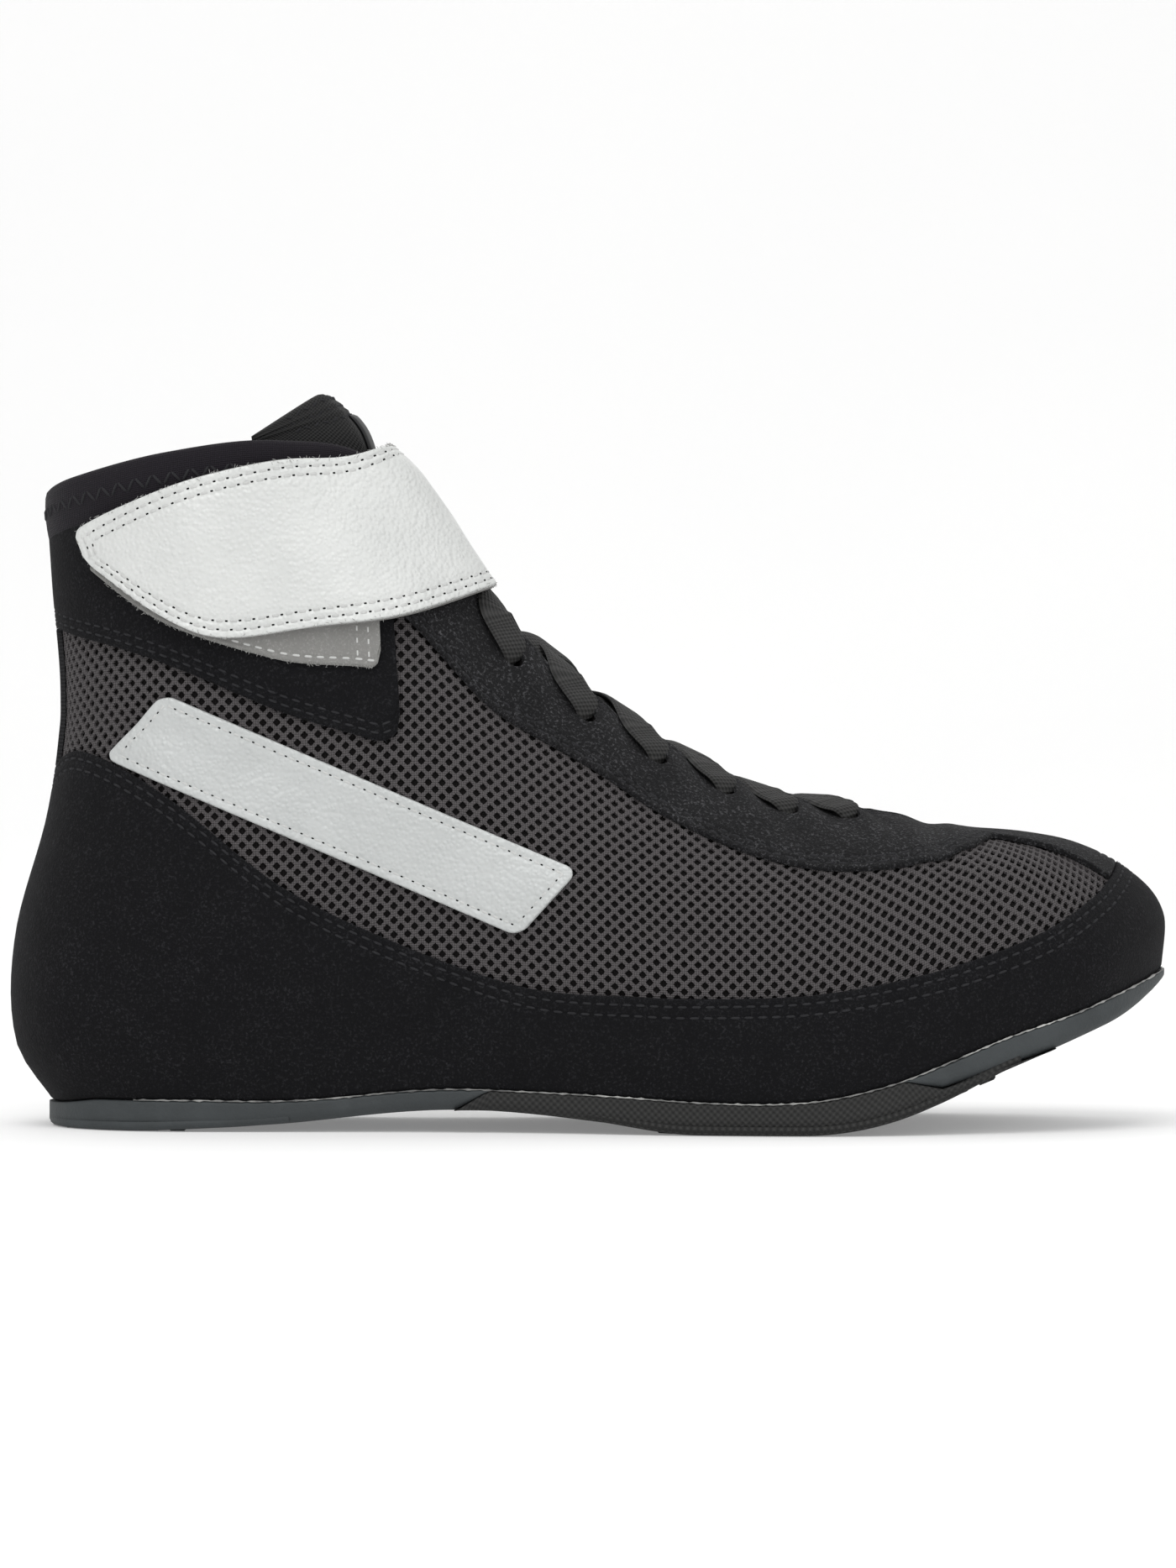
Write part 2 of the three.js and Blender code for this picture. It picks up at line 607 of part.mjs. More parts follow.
// Sole: one outline for all three rubber parts, the mesh wall's foot moved out by the lip.
function outlinePoint(p, out) {
  const foot = footPoint(p);
  const along = footPoint(p + 0.02).sub(footPoint(p - 0.02));
  return foot.add(new THREE.Vector3(along.y, -along.x, 0).normalize().multiplyScalar(out));
}

const endPlace = 0.05; // the first and last section stand this far off the ends
const solePlaces = [
  endPlace,
  ...steps(0.25, 1, 3),
  ...steps(1, 10, 22).slice(1),
  ...steps(10, lastSection - 0.25, 7).slice(1),
  lastSection - endPlace,
];
function slabRings(out, top, bottom, edgeRound, edgeLift) {
  return solePlaces.map((s) => {
    const outline = (inset) => [outlinePoint(s, out - inset), outlinePoint(mirrored(s), out - inset)];
    const [outerTop, innerTop] = outline(0);
    const [outerLow, innerLow] = outline(0);
    const [outerFoot, innerFoot] = outline(Math.min(edgeRound, Math.abs(outerTop.y - innerTop.y) * 0.3));
    const height = (point, level, lift = 0) => new THREE.Vector3(point.x, point.y, level(point.x) + lift);
    const middle = (level) => {
      const point = outerTop.clone().add(innerTop).multiplyScalar(0.5);
      return height(point, level);
    };
    return {
      outer: [height(outerTop, top), height(outerFoot, top), middle(top), height(innerFoot, top), height(innerTop, top)],
      inner: [
        height(outerLow, bottom, edgeLift),
        height(outerFoot, bottom),
        middle(bottom),
        height(innerFoot, bottom),
        height(innerLow, bottom, edgeLift),
      ],
    };
  });
}
const rubberBottom = (x) => soleBottom(x) + treadDepth;
const slab = toSolid(shell(slabRings(soleLip, soleTop, rubberBottom, soleEdgeRound, soleEdgeRound * 0.6)));

// Tread bars under the heel and the forefoot, cut to the outline.
function treadBars() {
  const inset = soleEdgeRound;
  const below = (x) => soleBottom(x);
  const above = (x) => rubberBottom(x) + 1;
  const carpet = toSolid(shell(slabRings(soleLip - inset, above, below, soleEdgeRound, 0)));
  const zones = [
    [0.045, heelFlatEnd],
    [forefootFlatStart - 0.04, treadLayerEnd - 0.03],
  ];
  const bars = zones.flatMap(([from, to]) => {
    const count = Math.floor(((to - from) * shoeLength) / treadPitch);
    return steps(0, count - 1, count - 1).map((i) => {
      const x = from * shoeLength + i * treadPitch;
      const top = soleTop(x + treadBar);
      return sideways([
        [x, -1],
        [x + treadBar, -1],
        [x + treadBar, top],
        [x, top],
      ]);
    });
  });
  return carpet.intersect(bars.reduce((all, bar) => all.add(bar)));
}
const sole = slab.add(treadBars());

const low = -5;
const high = shaftHeight;
const at = (share) => share * shoeLength;
const heelSide = (gap) => [
  [-shoeLength, low],
  [at(heelCutBottom) - gap, low],
  [at(heelCutBottom) - gap, 0],
  [at(heelCutTop) - gap, soleTop(at(heelCutTop))],
  [at(heelCutTop) - gap, high],
  [-shoeLength, high],
];
function toeSide(gap) {
  const layerTop = steps(toeCutBottom, treadLayerEnd, 4).map((share) => [
    at(share),
    rubberBottom(at(share)) + treadLayer * (1 - (share - toeCutBottom) / (treadLayerEnd - toeCutBottom)) + gap,
  ]);
  return [
    [at(toeCutTop) + gap, high],
    [at(toeCutTop) + gap, soleTop(at(toeCutTop))],
    ...layerTop,
    [at(treadLayerEnd) + gap, low],
    [2 * shoeLength, low],
    [2 * shoeLength, high],
  ];
}
add("heel_sole", toGeometry(sole.intersect(sideways(heelSide(0)))), slate, 0.7);
add("toe_sole", toGeometry(sole.intersect(sideways(toeSide(0)))), slate, 0.7);
add(
  "tread_sole",
  toGeometry(sole.subtract(sideways(heelSide(-clearance))).subtract(sideways(toeSide(-clearance)))),
  0x1b1c1d,
  0.8,
);

// Insole: fills the foot of the upper.
const insoleBottom = (x) => soleTop(x) + clearance;
const insoleTop = (x) => insoleBottom(x) + insoleThickness;
const insoleInset = 1.1; // from the wall
add("insole", shell(slabRings(-wall - insoleInset, insoleTop, insoleBottom, 1, 0)), 0x2d2d30, 0.95);

// Laces: a flat ribbon along points, each with the direction that its face looks.
function ribbon(points, faces) {
  const rings = points.map((point, i) => {
    const before = points[Math.max(i - 1, 0)];
    const after = points[Math.min(i + 1, points.length - 1)];
    const along = after.clone().sub(before).normalize();
    const side = faces[i].clone().cross(along).normalize();
    const up = along.clone().cross(side);
    const edge = (across, lift) =>
      point
        .clone()
        .addScaledVector(side, (across * laceWidth) / 2)
        .addScaledVector(up, (lift * laceThickness) / 2);
    return { outer: [edge(-1, 1), edge(1, 1)], inner: [edge(-1, -1), edge(1, -1)] };
  });
  return toSolid(shell(rings));
}

// One crossing strand: up out of an eyelet, over the edge and across the throat to the pair above.
const laceOver = (p) =>
  overlayOutside + THREE.MathUtils.mapLinear(p, firstEyelet, lastEyelet, 2.1, 1.2) + laceThickness / 2;
function strand(fromPlace, toPlace, outerFirst) {
  const sign = outerFirst ? 1 : -1;
  const start = outerFirst ? fromPlace : mirrored(fromPlace);
  const climb = steps(eyeletHeight(fromPlace), 1 - heightShare(fromPlace, 1), 3);
  const points = climb.map((w) => skin(start, w, laceOver(fromPlace)));
  const faces = climb.map((w) => faceNormal(start, w));
  const up = faceNormal(fromPlace, 1).add(faceNormal(mirrored(fromPlace), 1)).normalize();
  for (const k of steps(-0.7, 0.5, 3)) {
    const share = (k + 1) / 2;
    const p = THREE.MathUtils.lerp(fromPlace, toPlace, 0.2 + 0.7 * share);
    const depth = THREE.MathUtils.lerp(laceOver(fromPlace), -clearance, share);
    points.push(overThroat(p, p, sign * k, depth));
    faces.push(up);
  }
  return ribbon(points, faces);
}

for (let i = 0; i < eyeletPairs - 1; i++) {
  const here = eyeletPlaces[i + 1];
  const above = Math.max(eyeletPlaces[i], strapThroat[1] + 0.08); // the top strands stop under the strap
  const crossing = strand(here, above, true).add(strand(here, above, false));
  add(`lace_cross_${i + 1}`, toGeometry(crossing), black, 0.85);
}

// The shoe stands with the middle of its outline over the origin.
const extent = new THREE.Box3().setFromObject(shoe, true);
shoe.position.set(-(extent.min.x + extent.max.x) / 2, -(extent.min.y + extent.max.y) / 2, -extent.min.z);

export default shoe;
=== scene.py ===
import math
import bpy
import numpy as np
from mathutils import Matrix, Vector


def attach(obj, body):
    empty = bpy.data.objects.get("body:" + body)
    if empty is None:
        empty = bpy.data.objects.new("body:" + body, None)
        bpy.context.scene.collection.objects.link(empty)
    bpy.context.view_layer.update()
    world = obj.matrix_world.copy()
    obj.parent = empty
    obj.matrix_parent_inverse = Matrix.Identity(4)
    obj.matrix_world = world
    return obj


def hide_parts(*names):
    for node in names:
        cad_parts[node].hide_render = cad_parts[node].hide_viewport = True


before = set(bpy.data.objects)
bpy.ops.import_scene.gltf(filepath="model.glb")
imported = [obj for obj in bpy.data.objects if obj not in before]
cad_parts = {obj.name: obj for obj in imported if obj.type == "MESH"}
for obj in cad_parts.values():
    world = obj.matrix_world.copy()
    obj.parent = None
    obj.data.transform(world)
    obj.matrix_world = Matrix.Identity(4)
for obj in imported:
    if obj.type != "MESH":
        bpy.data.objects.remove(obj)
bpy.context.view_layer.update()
rng = np.random.default_rng(7)

# The last and its seams are those of the CAD source, in millimetres with the heel at x = 0.
shoeLength, ballWidth, shaftHeight = 280.0, 97.0, 150.0
wall, panelThickness, clearance = 2.2, 1.2, 0.3
groupShift = np.array([-138.841, 1.167, 0.0])
lastColumns = ["foot", "outer", "inner", "top", "throat", "height", "low", "belly", "waist", "neck", "cuff"]
lastRows = np.array([
    [0.036, 0.0, 0.0, 0.0315, 0.0, 1.015, 0.09, 0.09, 0.004, -0.03, -0.012],
    [0.0595, 0.18, 0.18, 0.0555, 0.175, 1.036, 0.08, 0.082, 0.01, -0.022, -0.006],
    [0.125, 0.284, 0.278, 0.134, 0.309, 1.073, 0.046, 0.062, 0.02, 0.002, 0.005],
    [0.2286, 0.309, 0.294, 0.2286, 0.32, 1.092, 0.031, 0.046, 0.031, 0.02, 0.015],
    [0.35, 0.33, 0.268, 0.314, 0.2165, 1.057, 0.036, 0.067, 0.082, 0.072, 0.041],
    [0.457, 0.376, 0.278, 0.393, 0.1495, 0.86, 0.057, 0.103, 0.122, 0.098, 0.052],
    [0.557, 0.433, 0.34, 0.4786, 0.129, 0.71, 0.067, 0.124, 0.136, 0.113, 0.059],
    [0.657, 0.474, 0.4175, 0.564, 0.1186, 0.6, 0.072, 0.132, 0.148, 0.131, 0.072],
    [0.75, 0.469, 0.4536, 0.643, 0.108, 0.531, 0.067, 0.129, 0.149, 0.134, 0.077],
    [0.837, 0.41, 0.433, 0.716, 0.09, 0.512, 0.067, 0.129, 0.155, 0.134, 0.067],
    [0.905, 0.34, 0.38, 0.752, 0.076, 0.496, 0.077, 0.136, 0.157, 0.129, 0.06],
    [0.957, 0.2, 0.27, 0.775, 0.045, 0.488, 0.1, 0.148, 0.155, 0.12, 0.05],
    [0.9893, -0.04, 0.04, 0.785, 0.0, 0.485, 0.122, 0.165, 0.155, 0.11, 0.04],
])
seamColumns = ["rand", "panel", "patch", "stay"]
seamRows = np.array([
    [0.55, 0.785, 0.95, 0.8], [0.566, 0.752, 0.9, 0.8], [0.485, 0.685, 0.765, 0.8],
    [0.335, 0.6, 0.692, 0.8], [0.226, 0.545, 0.68, 0.78], [0.196, 0.54, 0.69, 0.758],
    [0.218, 0.54, 0.69, 0.772], [0.245, 0.54, 0.69, 0.708], [0.255, 0.54, 0.69, 0.663],
    [0.236, 0.54, 0.69, 0.627], [0.245, 0.54, 0.69, 0.665], [0.281, 0.54, 0.69, 0.72],
    [0.33, 0.54, 0.69, 0.73],
])
soleRows = np.array([
    [0.03, 0.8], [0.08, 1.0], [0.16, 1.0], [0.3, 0.82], [0.41, 0.83], [0.55, 1.07],
    [0.64, 1.0], [0.75, 1.2], [0.84, 1.18], [0.93, 0.96], [0.99, 0.93],
])
bulgeLevels = np.array([0, 0.1, 0.27, 0.48, 0.66, 0.86, 1])
rowOf = np.array([k if k <= 12 else 24 - k for k in range(24)])
rings = {name: lastRows[rowOf, i] for i, name in enumerate(lastColumns)}
rings.update({name: seamRows[rowOf, i] for i, name in enumerate(seamColumns)})
onOuter = np.arange(24) <= 12
rings["side"] = np.where(onOuter, -rings["outer"], rings["inner"])
rings["edge"] = np.where(onOuter, -rings["throat"], rings["throat"])


def blend(a, b, c, d, t):
    # Catmull-Rom from b to c
    return b + 0.5 * t * (c - a + t * (2 * a - 5 * b + 4 * c - d + t * (3 * (b - c) + d - a)))


def at(name, p):
    k = np.floor(p).astype(int)
    return blend(*(rings[name][(k + step) % 24] for step in (-1, 0, 1, 2)), p - k)


def ease(t):
    t = np.clip(t, 0, 1)
    return t * t * (3 - 2 * t)


def unit(v):
    return v / np.maximum(np.linalg.norm(v, axis=-1, keepdims=True), 1e-9)


def rounded(edge, radius):
    # height share of a rounded cut edge
    return np.sqrt(1 - (1 - np.clip(edge / radius, 0, 1)) ** 2)


def ridge(x, centre, width):
    return np.exp(-((x - centre) / width) ** 2)


def soleRun(x):
    x = np.asarray(x, float)
    start, end, bend = 0.18 * shoeLength, 0.595 * shoeLength, 0.677 * shoeLength
    angle = math.radians(22.5)
    reach = 75 * math.sin(angle)
    waist = 4.2 * np.sin(np.pi * (x - start) / (end - start)) ** 2
    toe = 75 - np.sqrt(75 ** 2 - np.clip(x - bend, 0, reach) ** 2)
    toe = toe + np.maximum(x - bend - reach, 0) * math.tan(angle)
    return np.where(x < start, 0, np.where(x < end, waist, toe))


def soleTop(x):
    share = np.asarray(x, float) / shoeLength
    i = np.clip(np.searchsorted(soleRows[:, 0], share) - 1, 0, len(soleRows) - 2)
    t = ease((share - soleRows[i, 0]) / (soleRows[i + 1, 0] - soleRows[i, 0]))
    return soleRun(x) + 7.4 * (soleRows[i, 1] + (soleRows[i + 1, 1] - soleRows[i, 1]) * t)


def rubberBottom(x):
    return soleRun(x) + 4.5 * (np.maximum(0, np.asarray(x) / shoeLength - 0.94) / 0.06) ** 2 + 1.3


def footPoint(p):
    x = shoeLength * at("foot", p)
    return np.stack([x, ballWidth * at("side", p), soleTop(x) + clearance], -1)


def topPoint(p):
    return np.stack([shoeLength * at("top", p), ballWidth * at("edge", p), shaftHeight * at("height", p)], -1)


def bulge(p, w):
    p, w = np.broadcast_arrays(p, w)
    knots = np.stack([0.0 * p, *(at(name, p) for name in lastColumns[6:]), 0.0 * p])
    below, above = np.maximum(np.arange(7) - 1, 0), np.minimum(np.arange(7) + 1, 6)
    slopes = ((knots[above] - knots[below]).T / (bulgeLevels[above] - bulgeLevels[below])).T
    pick = lambda rows, k: np.take_along_axis(rows, k[None], 0)[0]
    i = np.clip(np.searchsorted(bulgeLevels, w) - 1, 0, 5)
    step = bulgeLevels[i + 1] - bulgeLevels[i]
    t = (w - bulgeLevels[i]) / step
    value = pick(knots, i) * (1 + 2 * t) * (1 - t) ** 2 + pick(knots, i + 1) * t * t * (3 - 2 * t)
    lean = pick(slopes, i) * t * (1 - t) ** 2 - pick(slopes, i + 1) * t * t * (1 - t)
    return ballWidth * (value + step * lean)


def facePoint(p, w):
    p, w = np.asarray(p, float), np.asarray(w, float)
    foot, top = footPoint(p), topPoint(p)
    along = footPoint(p + 0.02) + topPoint(p + 0.02) - footPoint(p - 0.02) - topPoint(p - 0.02)
    out = unit(np.cross(along, top - foot))
    return foot + (top - foot) * w[..., None] + out * bulge(p, w)[..., None]


def faceNormal(p, w):
    along = facePoint(p + 0.03, w) - facePoint(p - 0.03, w)
    normal = unit(np.cross(along, facePoint(p, w + 0.01) - facePoint(p, w - 0.01)))
    normal[..., 2] *= np.clip(w / 0.08, 0, 1)
    return unit(normal)


def chord(p):
    return np.linalg.norm(topPoint(p) - footPoint(p), axis=-1)


# Soft troughs (depth below 0) and ridges of the worn-in upper: middle and half length in x and z, then
# half width, depth and how far the line bows.
creaseColumns = ["x", "z", "reachX", "reachZ", "width", "depth", "bow"]
creaseRows = [
    [222, 66, 7, 15, 3.4, -0.9, 2.5],
    [229, 61, 5, 13, 2.6, 0.5, 2.0],
    [235, 57, 5, 13, 3.0, -0.6, 2.0],
    [214, 70, 8, 12, 3.0, 0.45, 2.0],
    [160, 49, 12, 3.5, 2.8, -0.8, -1.5],
    [163, 56, 12, 3.5, 2.6, 0.4, -1.5],
    [196, 46, 5, 15, 3.6, -0.6, 3.0],
    [120, 78, 12, 10, 4.0, -0.5, 3.0],
    [30, 96, 18, 3, 3.5, -0.6, 2.0],
    [66, 83, 16, 8, 4.0, -0.5, 2.0],
]


def creases(p, w, face):
    total = np.zeros(face.shape[:-1])
    for row in creaseRows:
        c = dict(zip(creaseColumns, row))
        length = math.hypot(c["reachX"], c["reachZ"])
        ux, uz = c["reachX"] / length, -c["reachZ"] / length
        dx, dz = face[..., 0] - c["x"], face[..., 2] - c["z"]
        along, across = (dx * ux + dz * uz) / length, dx * -uz + dz * ux
        across = across - c["bow"] * (1 - along ** 2)
        total = total + c["depth"] * np.exp(-(across / c["width"]) ** 2) * ease(1.3 - np.abs(along))
    # the eyestay puckers between the eyelets
    q = np.minimum(p, 24 - p)
    near = ease((q - 4.2) / 0.3) * ease((9.7 - q) / 0.7) * np.exp(-((1 - w) / 0.17) ** 2)
    total = total + 0.85 * near * np.cos(2 * np.pi * (q - 4.65) / 0.71 + 4.9)
    total = total + 1.2 * ease((q - 4.8) / 0.6) * ease((8.8 - q) / 1.6) * np.exp(-((1 - w) / 0.2) ** 2)
    return total * ease((w - 0.04) / 0.12)


def surf(p, w, d, rise=0.0, worn=1.0):
    face = facePoint(p, w)
    normal = faceNormal(p, w)
    d = d + worn * creases(p, w, face)
    point = face + normal * d[..., None]
    seat = soleTop(point[..., 0]) - soleTop(face[..., 0])
    point[..., 2] += rise + seat * np.clip(1 - w / 0.08, 0, 1)
    return point


def overThroat(p, k, d, worn=1.0):
    a, b = surf(p, 1.0, d, 0.0, worn), surf(24 - p, 1.0, d, 0.0, worn)
    lean = faceNormal(p, 1.0) + faceNormal(24 - p, 1.0)
    up = unit(lean)
    turn = 0.55 * np.arccos(np.minimum(1, (lean * up).sum(-1) / 2))
    half = np.linalg.norm(a - b, axis=-1) / 2
    side = unit(b - a)
    centre = (a + b) / 2 - up * (half / np.tan(turn))[..., None]
    radius = half / np.sin(turn)
    high, wide = (radius * np.cos(k * turn))[..., None], (radius * np.sin(k * turn))[..., None]
    return centre + up * high + side * wide


def curve(points, count, closed=False, start=0.0):
    # Catmull-Rom through the first axis
    points = np.asarray(points, float)
    n = len(points)
    t = np.linspace(start, n if closed else n - 1, count, endpoint=not closed)
    k = np.minimum(np.floor(t).astype(int), n - 1 if closed else n - 2)
    f = (t - k).reshape((-1,) + (1,) * (points.ndim - 1))
    pick = (lambda i: points[i % n]) if closed else (lambda i: points[np.clip(i, 0, n - 1)])
    return blend(pick(k - 1), pick(k), pick(k + 1), pick(k + 2), f)


def soften(grid, reach):
    padded = np.concatenate([2 * grid[:1] - grid[reach:0:-1], grid, 2 * grid[-1:] - grid[-2:-reach - 2:-1]])
    return sum(padded[i:i + len(grid)] for i in range(2 * reach + 1)) / (2 * reach + 1)


def crosswise(grid, shape):
    return np.swapaxes(shape(np.swapaxes(grid, 0, 1)), 0, 1)


def runOf(points, axis=0):
    # length along the points from the first
    steps = np.linalg.norm(np.diff(points, axis=axis), axis=-1).cumsum(axis)
    return np.insert(steps, 0, 0, axis)


def addObject(name, data):
    made = bpy.data.objects.new(name, data)
    bpy.context.collection.objects.link(made)
    return made


def makePiece(name, slotName, points, faces, uv, nodes=(), angle=50):
    mesh = bpy.data.meshes.new(name)
    mesh.from_pydata(((points + groupShift) / 1000).tolist(), [], [list(map(int, f)) for f in faces])
    layer = mesh.uv_layers.new(name="UVMap")
    index = np.empty(len(mesh.loops), np.int32)
    mesh.loops.foreach_get("vertex_index", index)
    layer.data.foreach_set("uv", (uv[index] / 1000).astype(np.float32).ravel())
    mesh.polygons.foreach_set("use_smooth", np.ones(len(mesh.polygons), bool))
    mesh.set_sharp_from_angle(angle=math.radians(angle))
    mesh.update()
    piece = addObject(name, mesh)
    piece.data.materials.append(materials[slotName])
    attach(piece, "root")
    if nodes:
        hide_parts(*nodes)
    return piece


def shellFaces(n, m, closed):
    i = np.arange(n if closed else n - 1)[:, None]
    j = np.arange(m - 1)[None, :]
    outer = lambda i, j: (i % n) * 2 * m + j
    inner = lambda i, j: outer(i, j) + m
    quads = []

    def add(*corners):
        quads.append(np.stack(np.broadcast_arrays(*corners), -1).reshape(-1, 4))

    add(outer(i, j), outer(i + 1, j), outer(i + 1, j + 1), outer(i, j + 1))
    add(inner(i, j), inner(i, j + 1), inner(i + 1, j + 1), inner(i + 1, j))
    add(outer(i, 0), inner(i, 0), inner(i + 1, 0), outer(i + 1, 0))
    add(outer(i, m - 1), outer(i + 1, m - 1), inner(i + 1, m - 1), inner(i, m - 1))
    if not closed:
        add(outer(0, j), outer(0, j + 1), inner(0, j + 1), inner(0, j))
        add(outer(n - 1, j), inner(n - 1, j), inner(n - 1, j + 1), outer(n - 1, j + 1))
    return np.concatenate(quads)


def gridUv(grid):
    u, v = runOf(grid[:, grid.shape[1] // 2]), runOf(grid, 1)
    return np.stack([np.broadcast_to(u[:, None], v.shape), v], -1)


def shell(name, slotName, outer, inner, closed=False, nodes=()):
    points = np.stack([outer, inner], 1).reshape(-1, 3)
    uv = np.repeat(gridUv(outer)[:, None], 2, 1).reshape(-1, 2)
    return makePiece(name, slotName, points, shellFaces(*outer.shape[:2], closed), uv, nodes)


def joinTubes(name, slotName, tubes, nodes=(), flatUv=False):
    # rings closed round their section, with a flat end at each end of the run
    points, faces, uv, start = [], [], [], 0
    for sections in tubes:
        n, m = sections.shape[:2]
        i, j = start + m * np.arange(n - 1)[:, None], np.arange(m)[None, :]
        after, last = (j + 1) % m, start + m * (n - 1)
        faces += np.stack([i + j, i + after, i + m + after, i + m + j], -1).reshape(-1, 4).tolist()
        faces += [list(range(start, start + m))[::-1], list(range(last, last + m))]
        points.append(sections.reshape(-1, 3))
        uv.append(points[-1][:, :2] if flatUv else gridUv(sections).reshape(-1, 2))
        start += n * m
    return makePiece(name, slotName, np.concatenate(points), faces, np.concatenate(uv), nodes)


materials = {}


def addNode(tree, kind, values=(), **settings):
    made = tree.nodes.new(kind)
    for key, value in settings.items():
        setattr(made, key, value)
    for key, value in dict(values).items():
        if isinstance(value, bpy.types.NodeSocket):
            tree.links.new(value, made.inputs[key])
        else:
            made.inputs[key].default_value = value
    return made


def mathNode(tree, a, b=1.0, c=0.0, kind="MULTIPLY_ADD", clamp=False):
    return addNode(tree, "ShaderNodeMath", {0: a, 1: b, 2: c}, operation=kind, use_clamp=clamp).outputs[0]


def mixColor(tree, factor, a, b):
    return addNode(tree, "ShaderNodeMix", {0: factor, 6: a, 7: b}, data_type="RGBA").outputs[2]


def noise(tree, place, scale, detail, roughness=0.5):
    values = {"Vector": place, "Scale": scale, "Detail": detail, "Roughness": roughness}
    return addNode(tree, "ShaderNodeTexNoise", values).outputs[0]


# Nap: short fibres lying in patches, for suede and felt
def nap(tree, place, given):
    fine = noise(tree, place, given["Fibre Scale"], 3.0, 0.7)
    patch = noise(tree, place, 90.0, 3.0)
    tips = mathNode(tree, mathNode(tree, fine, 4.5, -2.35, clamp=True), given["Tips"], given["Dust"])
    return mathNode(tree, patch, tips), mathNode(tree, fine, 0.15, 0.82), mathNode(tree, patch, 1.5, fine)


# Grain: the small pebbles of coated leather, paler and darker in patches at random
def grain(tree, place, given):
    warp = noise(tree, place, 420.0, 4.0)
    values = {"Vector": place, "Scale": given["Pebble Scale"], "Smoothness": 0.6}
    cells = addNode(tree, "ShaderNodeTexVoronoi", values, feature="SMOOTH_F1").outputs["Distance"]
    height = mathNode(tree, warp, 0.8, mathNode(tree, cells, -0.9))
    return noise(tree, place, 60.0, 5.0), mathNode(tree, warp, 0.22, given["Gloss"]), height


# Weave: threads crossing at the set pitch along the piece's own lengths
def weave(tree, place, given):
    values = {"Vector": place, "Angle": given["Turn"]}
    turned = addNode(tree, "ShaderNodeVectorRotate", values, rotation_type="Z_AXIS")
    split = addNode(tree, "ShaderNodeSeparateXYZ", {"Vector": turned.outputs[0]})
    rate = mathNode(tree, 6283.0, given["Pitch"], kind="DIVIDE")
    across, along = [mathNode(tree, mathNode(tree, split.outputs[i], rate), kind="SINE") for i in (0, 1)]
    woven = mathNode(tree, mathNode(tree, across, along), 0.5, 0.5)
    # specks of the lighter thread colour: lint, and on the mesh also painted glints of the threads
    lintAndGlint = noise(tree, place, 2400.0, 2.0)
    shade = mathNode(tree, lintAndGlint, given["Lint"], mathNode(tree, woven, 0.8))
    return shade, mathNode(tree, lintAndGlint, 0.2, 0.62), mathNode(tree, lintAndGlint, 0.3, woven)


# Moulding: matt rubber with fine pits, and pale patches of rub and dust at random
def mould(tree, place, given):
    pits = noise(tree, place, given["Pit Scale"], 4.0, 0.7)
    smears = noise(tree, place, 70.0, 6.0, 0.65)
    film = mathNode(tree, mathNode(tree, smears, 3.0, -1.3, clamp=True), given["Dust"])
    return mathNode(tree, pits, 0.12, film), mathNode(tree, smears, 0.25, 0.5), pits


def effectGroup(effect, numbers):
    # each effect mixes two colours, and gives colour, roughness and the height of a bump
    tree = bpy.data.node_groups.new(effect.__name__, "ShaderNodeTree")
    sockets = {"Vector": "Vector", "Color": "Color", "Light Color": "Color"}
    sockets.update(dict.fromkeys(numbers, "Float"))
    for label, kind in sockets.items():
        tree.interface.new_socket(name=label, in_out="INPUT", socket_type="NodeSocket" + kind)
    for label, kind in {"Base Color": "Color", "Roughness": "Float", "Bump Height": "Float"}.items():
        tree.interface.new_socket(name=label, in_out="OUTPUT", socket_type="NodeSocket" + kind)
    given = tree.nodes.new("NodeGroupInput").outputs
    shade, roughness, height = effect(tree, given["Vector"], given)
    results = (mixColor(tree, shade, given["Color"], given["Light Color"]), roughness, height)
    for socket, value in zip(tree.nodes.new("NodeGroupOutput").inputs, results):
        tree.links.new(value, socket)
    return tree


effectNumbers = {nap: ("Fibre Scale", "Tips", "Dust"), grain: ("Pebble Scale", "Gloss"),
                 weave: ("Pitch", "Turn", "Lint"), mould: ("Pit Scale", "Dust")}
groups = {effect: effectGroup(effect, numbers) for effect, numbers in effectNumbers.items()}

